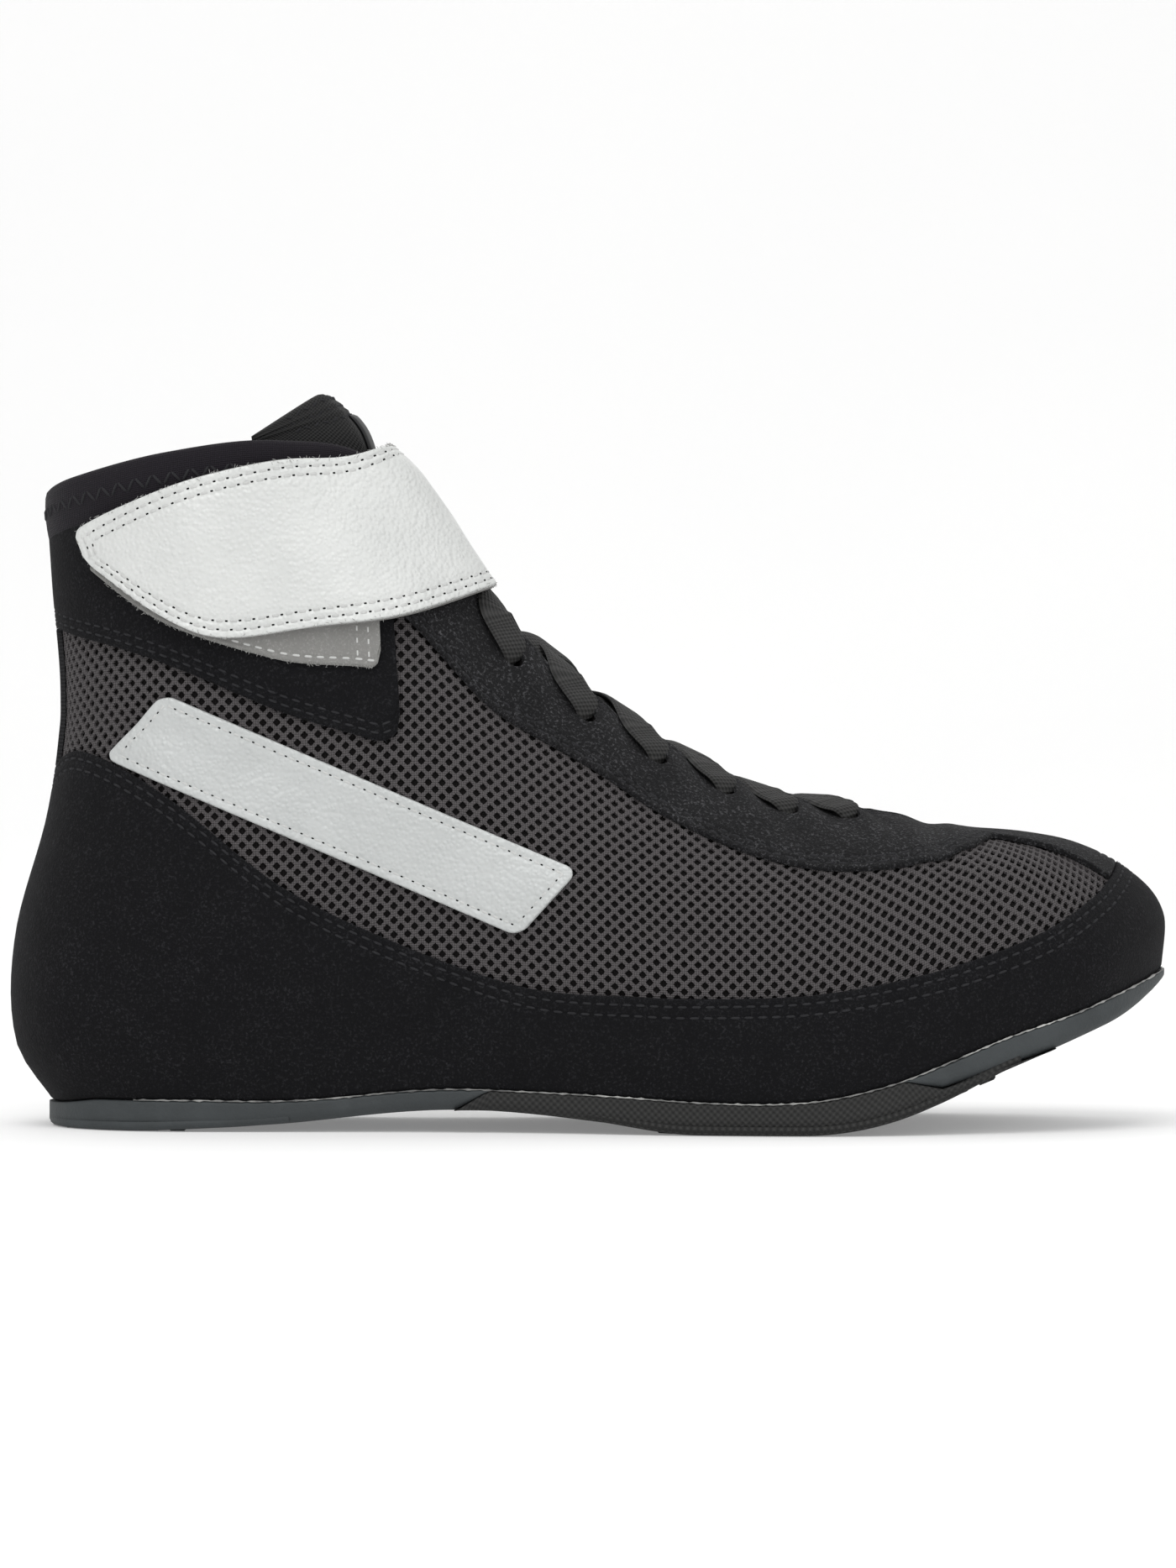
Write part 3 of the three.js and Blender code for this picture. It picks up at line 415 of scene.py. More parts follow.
# For each finish: effect, its darker and lighter colour and its numbers, then bump strength, bump depth in
# millimetres and specular level
finishes = {
    "suede": (nap, (0.0048, 0.0048, 0.0056), (0.075, 0.075, 0.082), (1500, 0.55, 0.03), 0.9, 0.5, 0.1),
    # suede for the eyestay: a coarser nap, and a lighter colour painted in as light on its upward face
    "suede_lit_coarse_nap": (nap, (0.006, 0.006, 0.0066), (0.17, 0.17, 0.18), (1400, 0.95, 0.05), 1.0, 0.7, 0.12),
    "suede_edge": (nap, (0.02, 0.02, 0.022), (0.1, 0.1, 0.11), (1600, 0.8, 0.1), 0.2, 0.2, 0.1),
    "loop_fabric": (nap, (0.2, 0.198, 0.19), (0.43, 0.43, 0.413), (1500, 0.8, 0.2), 0.8, 0.5, 0.15),
    "raw_edge": (nap, (0.3, 0.3, 0.29), (0.6, 0.6, 0.58), (1600, 0.8, 0.1), 0.2, 0.2, 0.15),
    # near-black dots: painted shade of the needle holes in the leather
    "needle_hole_shade": (nap, (0.01, 0.01, 0.01), (0.03, 0.03, 0.03), (1600, 0.5, 0.1), 0.2, 0.2, 0.05),
    "thread": (nap, (0.013, 0.013, 0.015), (0.06, 0.06, 0.065), (2500, 0.7, 0.1), 0.4, 0.2, 0.35),
    "bar_leather": (grain, (0.44, 0.455, 0.45), (0.56, 0.575, 0.57), (950, 0.38), 0.9, 0.4, 0.5),
    "silver_leather": (grain, (0.56, 0.572, 0.56), (0.7, 0.71, 0.695), (950, 0.38), 0.9, 0.4, 0.5),
    "pale_thread": (grain, (0.46, 0.47, 0.46), (0.6, 0.6, 0.59), (2500, 0.6), 0.4, 0.2, 0.3),
    "lining_cloth": (weave, (0.003, 0.003, 0.003), (0.018, 0.016, 0.016), (0.8, 0.785, 0.2), 0.4, 0.2, 0.08),
    # mesh: lighter threads, with painted glints in the specks and the light thread colour
    "mesh": (weave, (0.006, 0.0055, 0.0055), (0.1, 0.0915, 0.094), (0.8, 0.785, 0.5), 0.8, 0.3, 0.3),
    "binding": (weave, (0.005, 0.0044, 0.0058), (0.016, 0.0135, 0.018), (0.7, 0.785, 0.5), 0.7, 0.3, 0.12),
    "tongue_fabric": (weave, (0.006, 0.006, 0.006), (0.034, 0.034, 0.034), (1.1, 0.3, 0.2), 0.8, 0.4, 0.18),
    "webbing": (weave, (0.008, 0.008, 0.009), (0.03, 0.03, 0.032), (0.9, 0.0, 0.2), 0.5, 0.2, 0.3),
    "lace": (weave, (0.005, 0.005, 0.005), (0.05, 0.0495, 0.0485), (1.5, 0.785, 0.3), 0.9, 0.5, 0.2),
    "insole_cloth": (weave, (0.01, 0.01, 0.011), (0.04, 0.04, 0.042), (1.0, 0.785, 0.2), 0.4, 0.2, 0.1),
    "black_rubber": (weave, (0.012, 0.012, 0.0122), (0.041, 0.041, 0.04), (1.7, 0.0, 0.3), 0.7, 0.5, 0.2),
    "slate_rubber": (mould, (0.036, 0.041, 0.043), (0.085, 0.095, 0.1), (900, 0.3), 0.6, 0.4, 0.3),
    "label": (mould, (0.006, 0.006, 0.007), (0.03, 0.03, 0.03), (1500, 0.1), 0.1, 0.2, 0.3),
    # pale line on the sole's top edge: painted highlight, with some worn glue
    "highlight_and_wear_line": (mould, (0.09, 0.09, 0.09), (0.6, 0.6, 0.58), (1200, 1.0), 0.5, 0.2, 0.2),
}
shaderExtras = {
    "suede": {"Sheen Weight": 0.02}, "suede_lit_coarse_nap": {"Sheen Weight": 0.03}, "binding": {"Sheen Weight": 0.03},
    "loop_fabric": {"Sheen Weight": 0.1}, "bar_leather": {"Metallic": 0.2},
    "silver_leather": {"Metallic": 0.2}, "label": {"Coat Weight": 0.15, "Coat Roughness": 0.3},
}
for name, (effect, dark, light, numbers, bump, depth, specular) in finishes.items():
    materials[name] = bpy.data.materials.new(name)
    materials[name].use_nodes = True
    tree = materials[name].node_tree
    surface = tree.nodes["Principled BSDF"]
    if effect is weave:
        place = addNode(tree, "ShaderNodeUVMap", uv_map="UVMap").outputs[0]
    else:
        place = addNode(tree, "ShaderNodeTexCoord").outputs["Object"]
    values = {"Vector": place, "Color": (*dark, 1), "Light Color": (*light, 1)}
    values.update(zip(effectNumbers[effect], numbers))
    looks = addNode(tree, "ShaderNodeGroup", values, node_tree=groups[effect]).outputs
    relief = addNode(tree, "ShaderNodeBump", {"Strength": bump, "Distance": depth / 1000, "Height": looks[2]})
    for key, value in {"Base Color": looks[0], "Roughness": looks[1], "Normal": relief.outputs[0]}.items():
        tree.links.new(value, surface.inputs[key])
    for key, value in {"Specular IOR Level": specular, **shaderExtras.get(name, {})}.items():
        surface.inputs[key].default_value = value

cameraSpec = {"distance": 2.1, "height": 0.135, "aimHeight": 0.0828, "frameHeight": 0.381}
cameraData = bpy.data.cameras.new("camera")
camera = addObject("camera", cameraData)
bpy.context.scene.camera = camera
camera.location = (0.0, -cameraSpec["distance"], cameraSpec["height"])
aim = Vector((0.0, 0.0, cameraSpec["aimHeight"]))
camera.rotation_euler = (aim - camera.location).to_track_quat("-Z", "Y").to_euler()
cameraData.sensor_width = 36
cameraData.lens = 18 / (cameraSpec["frameHeight"] / 2 / (aim - camera.location).length)

# a pale sweep: floor in front, curving up well behind
arc = [(1.2 + 1.2 * math.sin(a), 1.2 - 1.2 * math.cos(a)) for a in np.linspace(0.1, 1.57, 14)]
profile = [(-3.5, 0.0), (1.2, 0.0), *arc, (2.4, 5.0)]
sweep = bpy.data.meshes.new("floor")
sweepFaces = [(i, i + 1, i + 3, i + 2) for i in range(0, 2 * len(profile) - 2, 2)]
sweep.from_pydata([(x, y, z) for y, z in profile for x in (-4.0, 4.0)], [], sweepFaces)
floor = addObject("floor", sweep)
for face in sweep.polygons:
    face.use_smooth = True
floorMaterial = bpy.data.materials.new("floor")
floorMaterial.use_nodes = True
paper = floorMaterial.node_tree
place = addNode(paper, "ShaderNodeTexCoord").outputs["Object"]
shade = mixColor(paper, noise(paper, place, 3.0, 2.0), (0.76, 0.76, 0.76, 1), (0.8, 0.8, 0.796, 1))
paperSurface = paper.nodes["Principled BSDF"].inputs
paper.links.new(shade, paperSurface["Base Color"])
for key, value in (("Roughness", 0.9), ("Emission Color", (1, 1, 1, 1)), ("Emission Strength", 0.2)):
    paperSurface[key].default_value = value
floor.data.materials.append(floorMaterial)

world = bpy.data.worlds.new("studio")
bpy.context.scene.world = world
world.use_nodes = True
studio = world.node_tree.nodes["Background"].inputs
studio[0].default_value, studio[1].default_value = (1, 1, 1, 1), 0.68
lightRows = [
    ("key", (-0.45, -1.25, 2.0), 1.6, 25),
    ("fill", (1.3, -1.5, 0.9), 1.6, 7),
    ("back", (0.1, 0.9, 2.0), 1.6, 6),
]
for name, place, size, power in lightRows:
    data = bpy.data.lights.new(name, "AREA")
    data.size, data.energy = size, power
    lamp = addObject(name, data)
    lamp.location = place
    lamp.rotation_euler = (Vector((0, 0, 0.05)) - Vector(place)).to_track_quat("-Z", "Y").to_euler()
bpy.context.scene.view_settings.view_transform = "Standard"
print("stage: done", flush=True)

# distances from a band's edge, close together where the cut edge is round and seams lie
edgeMarks = np.array([0, 0.1, 0.25, 0.5, 0.8, 1.2, 1.6, 2.0, 2.4, 2.9, 3.4, 3.9, 4.4, 4.9, 5.6])


def acrossMarks(width, count):
    marks = edgeMarks * np.minimum(1, width * 0.45 / edgeMarks[-1])
    end = marks[:, -1:]
    middle = end + (width - 2 * end) * np.linspace(0, 1, count + 2)[None, 1:-1]
    return np.concatenate([marks, middle, width - marks[:, ::-1]], 1)


def heightOf(edge, p):
    # an edge is a share of the wall's height, or a function that gives it
    return edge(p) if callable(edge) else edge + 0 * p


def band(name, slotName, spec, places, low, high, nodes=(), closed=False):
    p = places[:, None]
    bottom = heightOf(low, p)
    height = (heightOf(high, p) - bottom) * chord(p)
    dist = acrossMarks(height, spec["middle"])
    w = bottom + dist / chord(p)
    full = spec["thickness"] * (0.25 + 0.75 * rounded(np.minimum(dist, height - dist), spec["edge"]))
    for s in spec.get("lowSeams", ()):
        full = full - 0.28 * ridge(dist, s, 0.4)
    for s in spec.get("highSeams", ()):
        full = full - 0.28 * ridge(height - dist, s, 0.4)
    if "relief" in spec:
        full = full + spec["relief"](p, height - dist)
    return shell(name, slotName, surf(p, w, spec["inside"] + full), surf(p, w, spec["inside"]), closed, nodes)


# rows of sewn thread: a short, slightly sunk capsule for each stitch, all in one mesh
capsuleRings = [(-0.44, 0.6), (-0.25, 1.0), (0.25, 1.0), (0.44, 0.6)]


def capsule(sides):
    points, faces = [(-0.5, 0, 0)], []
    for x, r in capsuleRings:
        points += [(x, r * math.cos(a), r * math.sin(a)) for a in 2 * math.pi * np.arange(sides) / sides]
    points.append((0.5, 0, 0))
    last = len(points) - 1
    for s in range(sides):
        t = (s + 1) % sides
        faces += [(0, 1 + s, 1 + t), (last, last - sides + t, last - sides + s)]
        for a in (1, 1 + sides, 1 + 2 * sides):
            faces.append((a + s, a + sides + s, a + sides + t, a + t))
    return np.array(points), faces


def upright(up, along):
    return unit(up - along * (up * along).sum(-1, keepdims=True))


def stitchFrames(rows, pitch, slip=0.0):
    # place, direction and upright of each stitch along rows of points and normals
    made = []
    for points, normals in rows:
        run = runOf(points)
        spots = np.arange(pitch * (0.5 + slip), run[-1], pitch)
        spots = spots + 0.04 * pitch * np.sin(spots * 1.7)
        pick = lambda a, t: np.stack([np.interp(t, run, a[:, k]) for k in range(3)], -1)
        along = unit(pick(points, spots + 0.4) - pick(points, spots - 0.4))
        made.append((pick(points, spots), along, upright(pick(normals, spots), along)))
    return [np.concatenate(parts) for parts in zip(*made)]


def capsules(name, slotName, where, along, up, length, radius, sunk=1.1, sides=6):
    base, faces = capsule(sides)
    x, y, z = base.T[:, None, :, None]
    length = np.broadcast_to(length, len(where))[:, None, None]
    made = where[:, None] + along[:, None] * x * length + np.cross(up, along)[:, None] * y * radius
    made = made + up[:, None] * radius * (z * 0.8 - sunk * (2 * x) ** 2)
    allFaces = [[v + i * len(base) for v in f] for i in range(len(where)) for f in faces]
    points = made.reshape(-1, 3)
    return makePiece(name, slotName, points, allFaces, points[:, [0, 2]])


def stitches(name, slotName, rows, length, radius, pitch, tilt=0.0, slip=0.0):
    where, along, up = stitchFrames(rows, pitch, slip)
    turns = np.where(np.arange(len(where)) % 2, tilt, -tilt)[:, None]
    along = along * np.cos(turns) + np.cross(up, along) * np.sin(turns)
    return capsules(name, slotName, where, along, up, length, radius)


# loose fibres of a raw cut edge, standing out in every direction
def fibres(name, slotName, rows, length, spacing, radius=0.07):
    where, along, up = stitchFrames(rows, spacing)
    side, n = np.cross(up, along), len(where)
    where = where + side * rng.normal(0, 0.3, (n, 1)) + along * rng.normal(0, spacing, (n, 1))
    way = side * rng.normal(0, 1, (n, 1)) + along * rng.normal(0, 0.7, (n, 1))
    way = unit(way + up * np.abs(rng.normal(0, 0.35, (n, 1))))
    lengths = length * rng.uniform(0.4, 1.3, n)
    return capsules(name, slotName, where, way, upright(up, way), lengths, radius, 0.4, 3)


def alongEdge(line, edge, steps, d=1.36):
    # seam lines at these distances above an edge
    heights = [heightOf(edge, line) + s / chord(line) for s in steps]
    return [(surf(line, w, d), faceNormal(line, w)) for w in heights]


def places(start, end, step=0.03):
    return np.linspace(start, end, int(abs(end - start) / step) + 2)


def liningRelief(p, down):
    # thicker near the top edge and at the back seam
    return 0.85 * np.maximum(ease(1.6 - down / 8), np.minimum(p % 24, -p % 24) < 0.14)


lining = {"inside": -2.2, "thickness": 1.25, "edge": 0.5, "middle": 14, "relief": liningRelief}
liningPlaces, roundPlaces = [np.linspace(0, 24, count, endpoint=False) for count in (220, 460)]
liningPiece = band("lining", "lining_cloth", lining, liningPlaces, 0.0, 1.0, ("upper",), True)


def randTop(p):
    return at("rand", p)


overlay = {"inside": clearance, "thickness": panelThickness, "edge": 0.7, "middle": 16}
rand = {**overlay, "highSeams": (1.9, 4.4)}
band("rand", "suede", rand, roundPlaces, 0.0, randTop, ("rand",), True)
randLine = places(0, 24, 0.02)
stitches("rand_stitches", "thread", alongEdge(randLine, randTop, (-1.9, -4.4)), 2.6, 0.34, 3.3)
fibres("rand_fibres", "suede_edge", alongEdge(randLine, randTop, (-0.25,), 1.35), 0.9, 0.7)
print("rand: done", flush=True)


panelFront = 4.04


def panelBottom(p):
    return at("panel", p) + 0.06 * (1 - rounded(panelFront - np.abs(p), 0.28))


panel = {**overlay, "lowSeams": (1.9, 4.0)}
panelPlaces, panelLine = places(-panelFront, panelFront, 0.034), places(-3.95, 3.95, 0.02)
band("ankle_panel", "suede", panel, panelPlaces, panelBottom, 0.935, ("ankle_panel",))
stitches("panel_stitches", "thread", alongEdge(panelLine, panelBottom, (1.9, 4.0)), 2.5, 0.32, 3.2)
fibres("panel_fibres", "suede_edge", alongEdge(panelLine, panelBottom, (0.25,), 1.35), 0.9, 0.7)

backStay = {**overlay, "edge": 0.5, "middle": 40}
band("back_stay", "webbing", backStay, places(-0.2, 0.2, 0.02), lambda p: at("rand", p) + 0.15 / chord(p),
     lambda p: at("panel", p) - 0.15 / chord(p), ("back_stay",))


def stayBottom(p):
    fromToe = np.abs(p - 12)
    side, low = at("stay", p), at("rand", p) + 0.15 / chord(p)
    return np.where(fromToe > 0.9, side, low + (side - low) * rounded(fromToe - 0.55, 0.35))


stay = {**panel, "highSeams": (2.2,)}
# the eyestay takes the lighter suede: painted light on its upward face, with a coarser nap
stayPiece = band("eyestay", "suede_lit_coarse_nap", stay, places(4.14, 19.86, 0.027), stayBottom, 1.0, ("eyestay",))
stayRows, stayEdges = [], []
for line in (places(4.2, 10.9, 0.02), 24 - places(4.2, 10.9, 0.02)):
    stayRows += alongEdge(line, stayBottom, (1.9, 4.0)) + alongEdge(line, 1.0, (-2.2,))
    stayEdges += alongEdge(line, stayBottom, (0.25,), 1.35)
stitches("eyestay_stitches", "thread", stayRows, 2.5, 0.32, 3.2)
fibres("eyestay_fibres", "suede_edge", stayEdges, 0.9, 0.7)
print("eyestay: done", flush=True)

# Eyelets punched through the eyestay and the lining
eyeletSpec = {"first": 4.65, "step": 0.71, "top": 9.8, "bottom": 6.2, "radius": 0.0021}
eyelets = eyeletSpec["first"] + eyeletSpec["step"] * np.arange(7)


def eyeletHeight(p):
    share = (p - eyelets[0]) / (eyelets[-1] - eyelets[0])
    return 1 - (eyeletSpec["top"] + (eyeletSpec["bottom"] - eyeletSpec["top"]) * share) / chord(p)


punchPieces = []
for p in eyelets:
    for q in (p, 24 - p):
        w = eyeletHeight(p)
        spot = (surf(q, w, 0.0) + groupShift) / 1000
        turn = Vector(faceNormal(q, w)).to_track_quat("Z", "Y").to_euler()
        bpy.ops.mesh.primitive_cylinder_add(vertices=24, radius=eyeletSpec["radius"], depth=0.009,
                                            location=spot.tolist(), rotation=turn)
        punchPieces.append(bpy.context.object)
bpy.ops.object.select_all(action="DESELECT")
for piece in punchPieces:
    piece.select_set(True)
bpy.context.view_layer.objects.active = punchPieces[0]
bpy.ops.object.join()
punch = bpy.context.object
for piece in (stayPiece, liningPiece):
    cut = piece.modifiers.new("punch", "BOOLEAN")
    cut.object, cut.solver = punch, "MANIFOLD"
    bpy.ops.object.select_all(action="DESELECT")
    bpy.context.view_layer.objects.active = piece
    piece.select_set(True)
    bpy.ops.object.modifier_apply(modifier="punch")
bpy.data.objects.remove(punch)
print("eyelets: done", flush=True)

# Open mesh: a lattice of strands round diamond holes, laid out in flat lengths of the cloth
meshSpec = {"across": 3.3, "row": 1.72, "hole": 0.6, "depth": 0.75, "knot": 0.14}


def wallGrid(pStart, pEnd):
    p, w = np.broadcast_arrays(np.linspace(pStart, pEnd, 361)[:, None], np.linspace(0, 1, 81)[None, :])
    return p, facePoint(p, w)


def flatLengths(pStart, pEnd):
    # lengths of the cloth laid flat: along x on the sides, along the wall round heel and toe
    p, grid = wallGrid(pStart, pEnd)
    q = np.minimum(p, 24 - p)[:-1]
    arc = np.maximum(ease((3.2 - q) / 1.2), ease((q - 9.4) / 1.4))
    step = np.diff(grid, axis=0)
    steps = np.abs(step[..., 0]) * (1 - arc) + np.linalg.norm(step, axis=-1) * arc
    u = np.insert(steps.cumsum(0), 0, 0, 0)
    sign = 1 if pStart < 6 else -1
    return u - u[180] + grid[180, :, 0] * sign, runOf(grid, 1)


def lookUp(grid, i, j):
    i, j = np.clip(i, 0, grid.shape[0] - 1.001), np.clip(j, 0, grid.shape[1] - 1.001)
    a, b = i.astype(int), j.astype(int)
    s, t = i - a, j - b
    return (grid[a, b] * (1 - s) * (1 - t) + grid[a + 1, b] * s * (1 - t)
            + grid[a, b + 1] * (1 - s) * t + grid[a + 1, b + 1] * s * t)


def slopesAt(grid, i, j):
    return lookUp(grid, i + 1, j) - lookUp(grid, i - 1, j), lookUp(grid, i, j + 1) - lookUp(grid, i, j - 1)


def unroll(u, v, first, second):
    # where on the grids the two values are met
    i = np.full(u.shape, first.shape[0] / 2)
    j = np.full(u.shape, first.shape[1] / 2)
    for _ in range(14):
        f, g = lookUp(first, i, j) - u, lookUp(second, i, j) - v
        (fi, fj), (gi, gj) = slopesAt(first, i, j), slopesAt(second, i, j)
        det = fi * gj - fj * gi
        det = np.where(np.abs(det) < 1e-6, 1e-6, det) / 2
        i = np.clip(i - np.clip((f * gj - g * fj) / det, -30, 30), 1, first.shape[0] - 2.001)
        j = np.clip(j - np.clip((g * fi - f * gi) / det, -12, 12), 1, first.shape[1] - 2.001)
    return i, j, np.hypot(lookUp(first, i, j) - u, lookUp(second, i, j) - v)


def openMesh(name, pStart, pEnd):
    u, v = flatLengths(pStart, pEnd)
    half, row = meshSpec["across"] / 2, meshSpec["row"]
    columns = np.arange(int(u.min() / half) - 2, int(u.max() / half) + 2)
    rows = np.arange(0, int(v.max() / row) + 2)
    cx, cy = [a.ravel() for a in np.meshgrid(columns, rows)]
    keep = (cx + cy) % 2 == 0
    cx, cy = cx[keep], cy[keep]
    place = lambda i, j: (pStart + (pEnd - pStart) * i / (u.shape[0] - 1), j / (u.shape[1] - 1))
    i, j, miss = unroll(cx * half, cy * row, u, v)
    p, w = place(i, j)
    q = np.minimum(p, 24 - p)
    top = np.where(q < 3.85, panelBottom(q), stayBottom(q))
    margin = 3.6 / chord(p)
    keep = (miss < 0.5) & (w > at("rand", p) - margin) & (w < top + margin) & (q > 0.15) & (q < 11.85)
    cx, cy, p, w = cx[keep], cy[keep], p[keep], w[keep]
    centre, normal = surf(p, w, 0 * p), faceNormal(p, w)
    # boundary points in steps of half a diamond side, shared by neighbours
    ring = np.array([(2, 0), (1, 1), (0, 2), (-1, 1), (-2, 0), (-1, -1), (0, -2), (1, -1)])
    keys = np.stack([2 * cx[:, None] + ring[:, 0], 2 * cy[:, None] + ring[:, 1]], -1)
    flat, index = np.unique(keys.reshape(-1, 2), axis=0, return_inverse=True)
    index = index.reshape(-1, 8)
    quarter = np.array([half, row]) / 2
    bp, bw = place(*unroll(*(flat * quarter).T, u, v)[:2])
    knot = np.where(flat[:, 0] % 2 == 0, meshSpec["knot"], 0.02)
    border, borderNormal = surf(bp, bw, knot), faceNormal(bp, bw)
    under = border - borderNormal * (meshSpec["depth"] + knot)[:, None]
    hole = np.where(np.arange(8) % 2 == 0, meshSpec["hole"], meshSpec["hole"] * 1.1)[None, :, None]
    spoke = (border[index] - centre[:, None]) * hole
    top = centre[:, None] + spoke - normal[:, None] * 0.12
    low = centre[:, None] + spoke * 0.9 - normal[:, None] * meshSpec["depth"]
    b, c = len(border), len(centre)
    points = np.concatenate([border, under, top.reshape(-1, 3), low.reshape(-1, 3)])
    topIndex = 2 * b + np.arange(c * 8).reshape(c, 8)
    lowIndex = topIndex + c * 8
    after = np.roll(np.arange(8), -1)
    loops = [index, topIndex, lowIndex, index + b]
    quads = [np.stack([x, x[:, after], y[:, after], y], -1) for x, y in zip(loops, loops[1:])]
    # walls where a strand has no neighbour
    edges = [tuple(edge) for edge in np.stack([index, index[:, after]], -1).reshape(-1, 2).tolist()]
    known = set(edges)
    lone = np.array([(x, y) for x, y in edges if (y, x) not in known])
    quads.append(np.stack([lone[:, 1], lone[:, 0], lone[:, 0] + b, lone[:, 1] + b], -1))
    faces = np.concatenate([a.reshape(-1, 4) for a in quads])
    flatUv, centreUv = flat * quarter, np.stack([cx, cy], -1) * 2 * quarter
    holeUv = centreUv[:, None] + (flatUv[index] - centreUv[:, None]) * hole
    uv = np.concatenate([flatUv, flatUv, holeUv.reshape(-1, 2), holeUv.reshape(-1, 2)])
    print(name, len(centre), "holes", flush=True)
    return makePiece(name, "mesh", points, faces, uv, (), 35)


openMesh("mesh_outer", 0.0, 12.0)
openMesh("mesh_inner", 12.0, 24.0)
print("mesh: done", flush=True)

# Collar: a padded binding rolled over the top edge
collarSpec = {"foot": 0.93, "roll": 1.6, "padding": 3.2}
slotInside = -wall - 3 * clearance
collarInside = slotInside - collarSpec["padding"]


def collarSection(p):
    foot, roll = collarSpec["foot"], collarSpec["roll"]
    mid, inFoot = (1 + foot) / 2, foot - 0.07
    rows = [
        (foot, 0.95, 0), (foot + 0.001, 1.5, 0), (mid, 0.35 + roll, 0),
        (1, clearance + roll * 0.75, roll * 0.6), (1, -wall / 2, clearance + roll + 0.15),
        (1, collarInside * 0.75, roll * 0.5), (mid, collarInside, 0), (inFoot + 0.02, collarInside * 0.85, 0),
        (inFoot, slotInside - 0.3, 0), (inFoot + 0.02, slotInside, 0), (0.95, slotInside, 0),
        (1, slotInside, 0), (1, -wall / 2, clearance * 0.8), (1, 0.6, 0.1), (mid, 0.9, 0),
        (foot + 0.01, 0.9, 0),
    ]
    return np.stack([surf(p, w, d, rise) for w, d, rise in rows], 1)


sections = collarSection(places(-panelFront, panelFront, 0.035))
sections = crosswise(sections, lambda grid: curve(grid, 52, True))
collarPiece = joinTubes("collar", "binding", [sections[::-1]], ("collar",))
zigzag = alongEdge(places(-4.0, 4.0, 0.02), 0.971, (0.0,), 2.08)
stitches("collar_zigzag", "thread", zigzag, 3.8, 0.36, 2.4, 0.95)
print("collar: done", flush=True)

# Tongue, with a padded top end
tongueRise = 19.0
tongueRows = [
    [10.1, 9.9, 0.9, 0, 0, 0], [9.2, 9.1, 0.85, 0, 0, 0], [8.2, 8.2, 0.83, 0, 0, 0],
    [7.2, 7.2, 0.83, 0, 0, 0], [6.2, 6.2, 0.83, 0, 0, 0], [5.4, 5.4, 0.83, 0, 0, 0],
    [4.8, 4.75, 0.84, 0.4, 0.2, 0], [4.3, 4.1, 0.87, 0.8, 0.8, 0], [4.05, 3.4, 0.93, 1, 1, 0],
    [4.0, 2.95, 0.985, 1, 1, 0.55], [3.98, 3.05, 1.0, 0.4, 1.1, 1],
]


def tongueFace(thick):
    lines = []
    for middle, edge, edgeHeight, pad, deeper, rise in tongueRows:
        d = -(wall + 1.9 + deeper * 3.5) - thick * (3 + pad * 2.6)
        up = rise * tongueRise
        line = [overThroat(middle, k, d) + [-0.6 * rise * up * (1 - 0.1 * k * k), 0, up * (1 + 0.06 * k * k)]
                for k in np.linspace(-1, 1, 5)]
        back = [-0.27 * rise * up, 0, 0]
        first, last = [surf(q, edgeHeight, d, up * 0.2) + back for q in (edge, 24 - edge)]
        lines.append([first, *line, last])
    return crosswise(curve(np.array(lines)[::-1], 180), lambda grid: soften(curve(grid, 64), 3))


tongueOut, tongueIn = tongueFace(0), tongueFace(1)
thickness = tongueOut - tongueIn
share, across = np.linspace(0, 1, 180)[:, None], np.linspace(-1, 1, 64)[None, :]
# piped bands across the padded end and a soft pillow between its edges
ribs = sum(0.09 * ridge(share, s, 0.005) for s in (0.038, 0.055))[..., None]
rim = np.maximum(0.5 * (1 - rounded(1 - np.abs(across), 0.06)), 0.45 * (1 - rounded(share, 0.02)))[..., None]
tongueFaces = (tongueOut + thickness * (ribs - rim), tongueIn + thickness * rim * 0.9)
tonguePiece = shell("tongue", "tongue_fabric", *tongueFaces, False, ("tongue",))
tongueUp = unit(thickness)
tongueSeams = [(tongueOut[i, 5:-5] + tongueUp[i, 5:-5] * 0.1, tongueUp[i, 5:-5]) for i in (4, 8, 12)]
stitches("tongue_stitches", "thread", tongueSeams, 2.0, 0.28, 2.6, 0.5)
# a bare glossy label sewn on below the bands
label = tongueOut[12:30, 21:43]
rows, columns = np.arange(label.shape[0])[:, None], np.arange(label.shape[1])[None, :]
labelEdge = np.minimum(np.minimum(rows, rows[::-1]), np.minimum(columns, columns[:, ::-1])) / 2
labelDepth = 0.5 + 0.5 * rounded(labelEdge, 1)
labelUp = tongueUp[12:30, 21:43]
shell("tongue_label", "label", label + labelUp * labelDepth[..., None], label + labelUp * 0.15)
print("tongue: done", flush=True)

# Strap: grey backing and silver leather, its edges cut raw
strapRows = [
    [1.02, 0.912, 1.1, 0.893], [1.35, 0.928, 1.55, 0.83], [1.8, 0.945, 2.05, 0.757],
    [2.3, 0.964, 2.55, 0.711], [3.0, 0.982, 3.3, 0.725], [3.55, 0.987, 4.1, 0.765],
]
strapInside, strapThickness, strapCount = 3.3, 2.4, 230


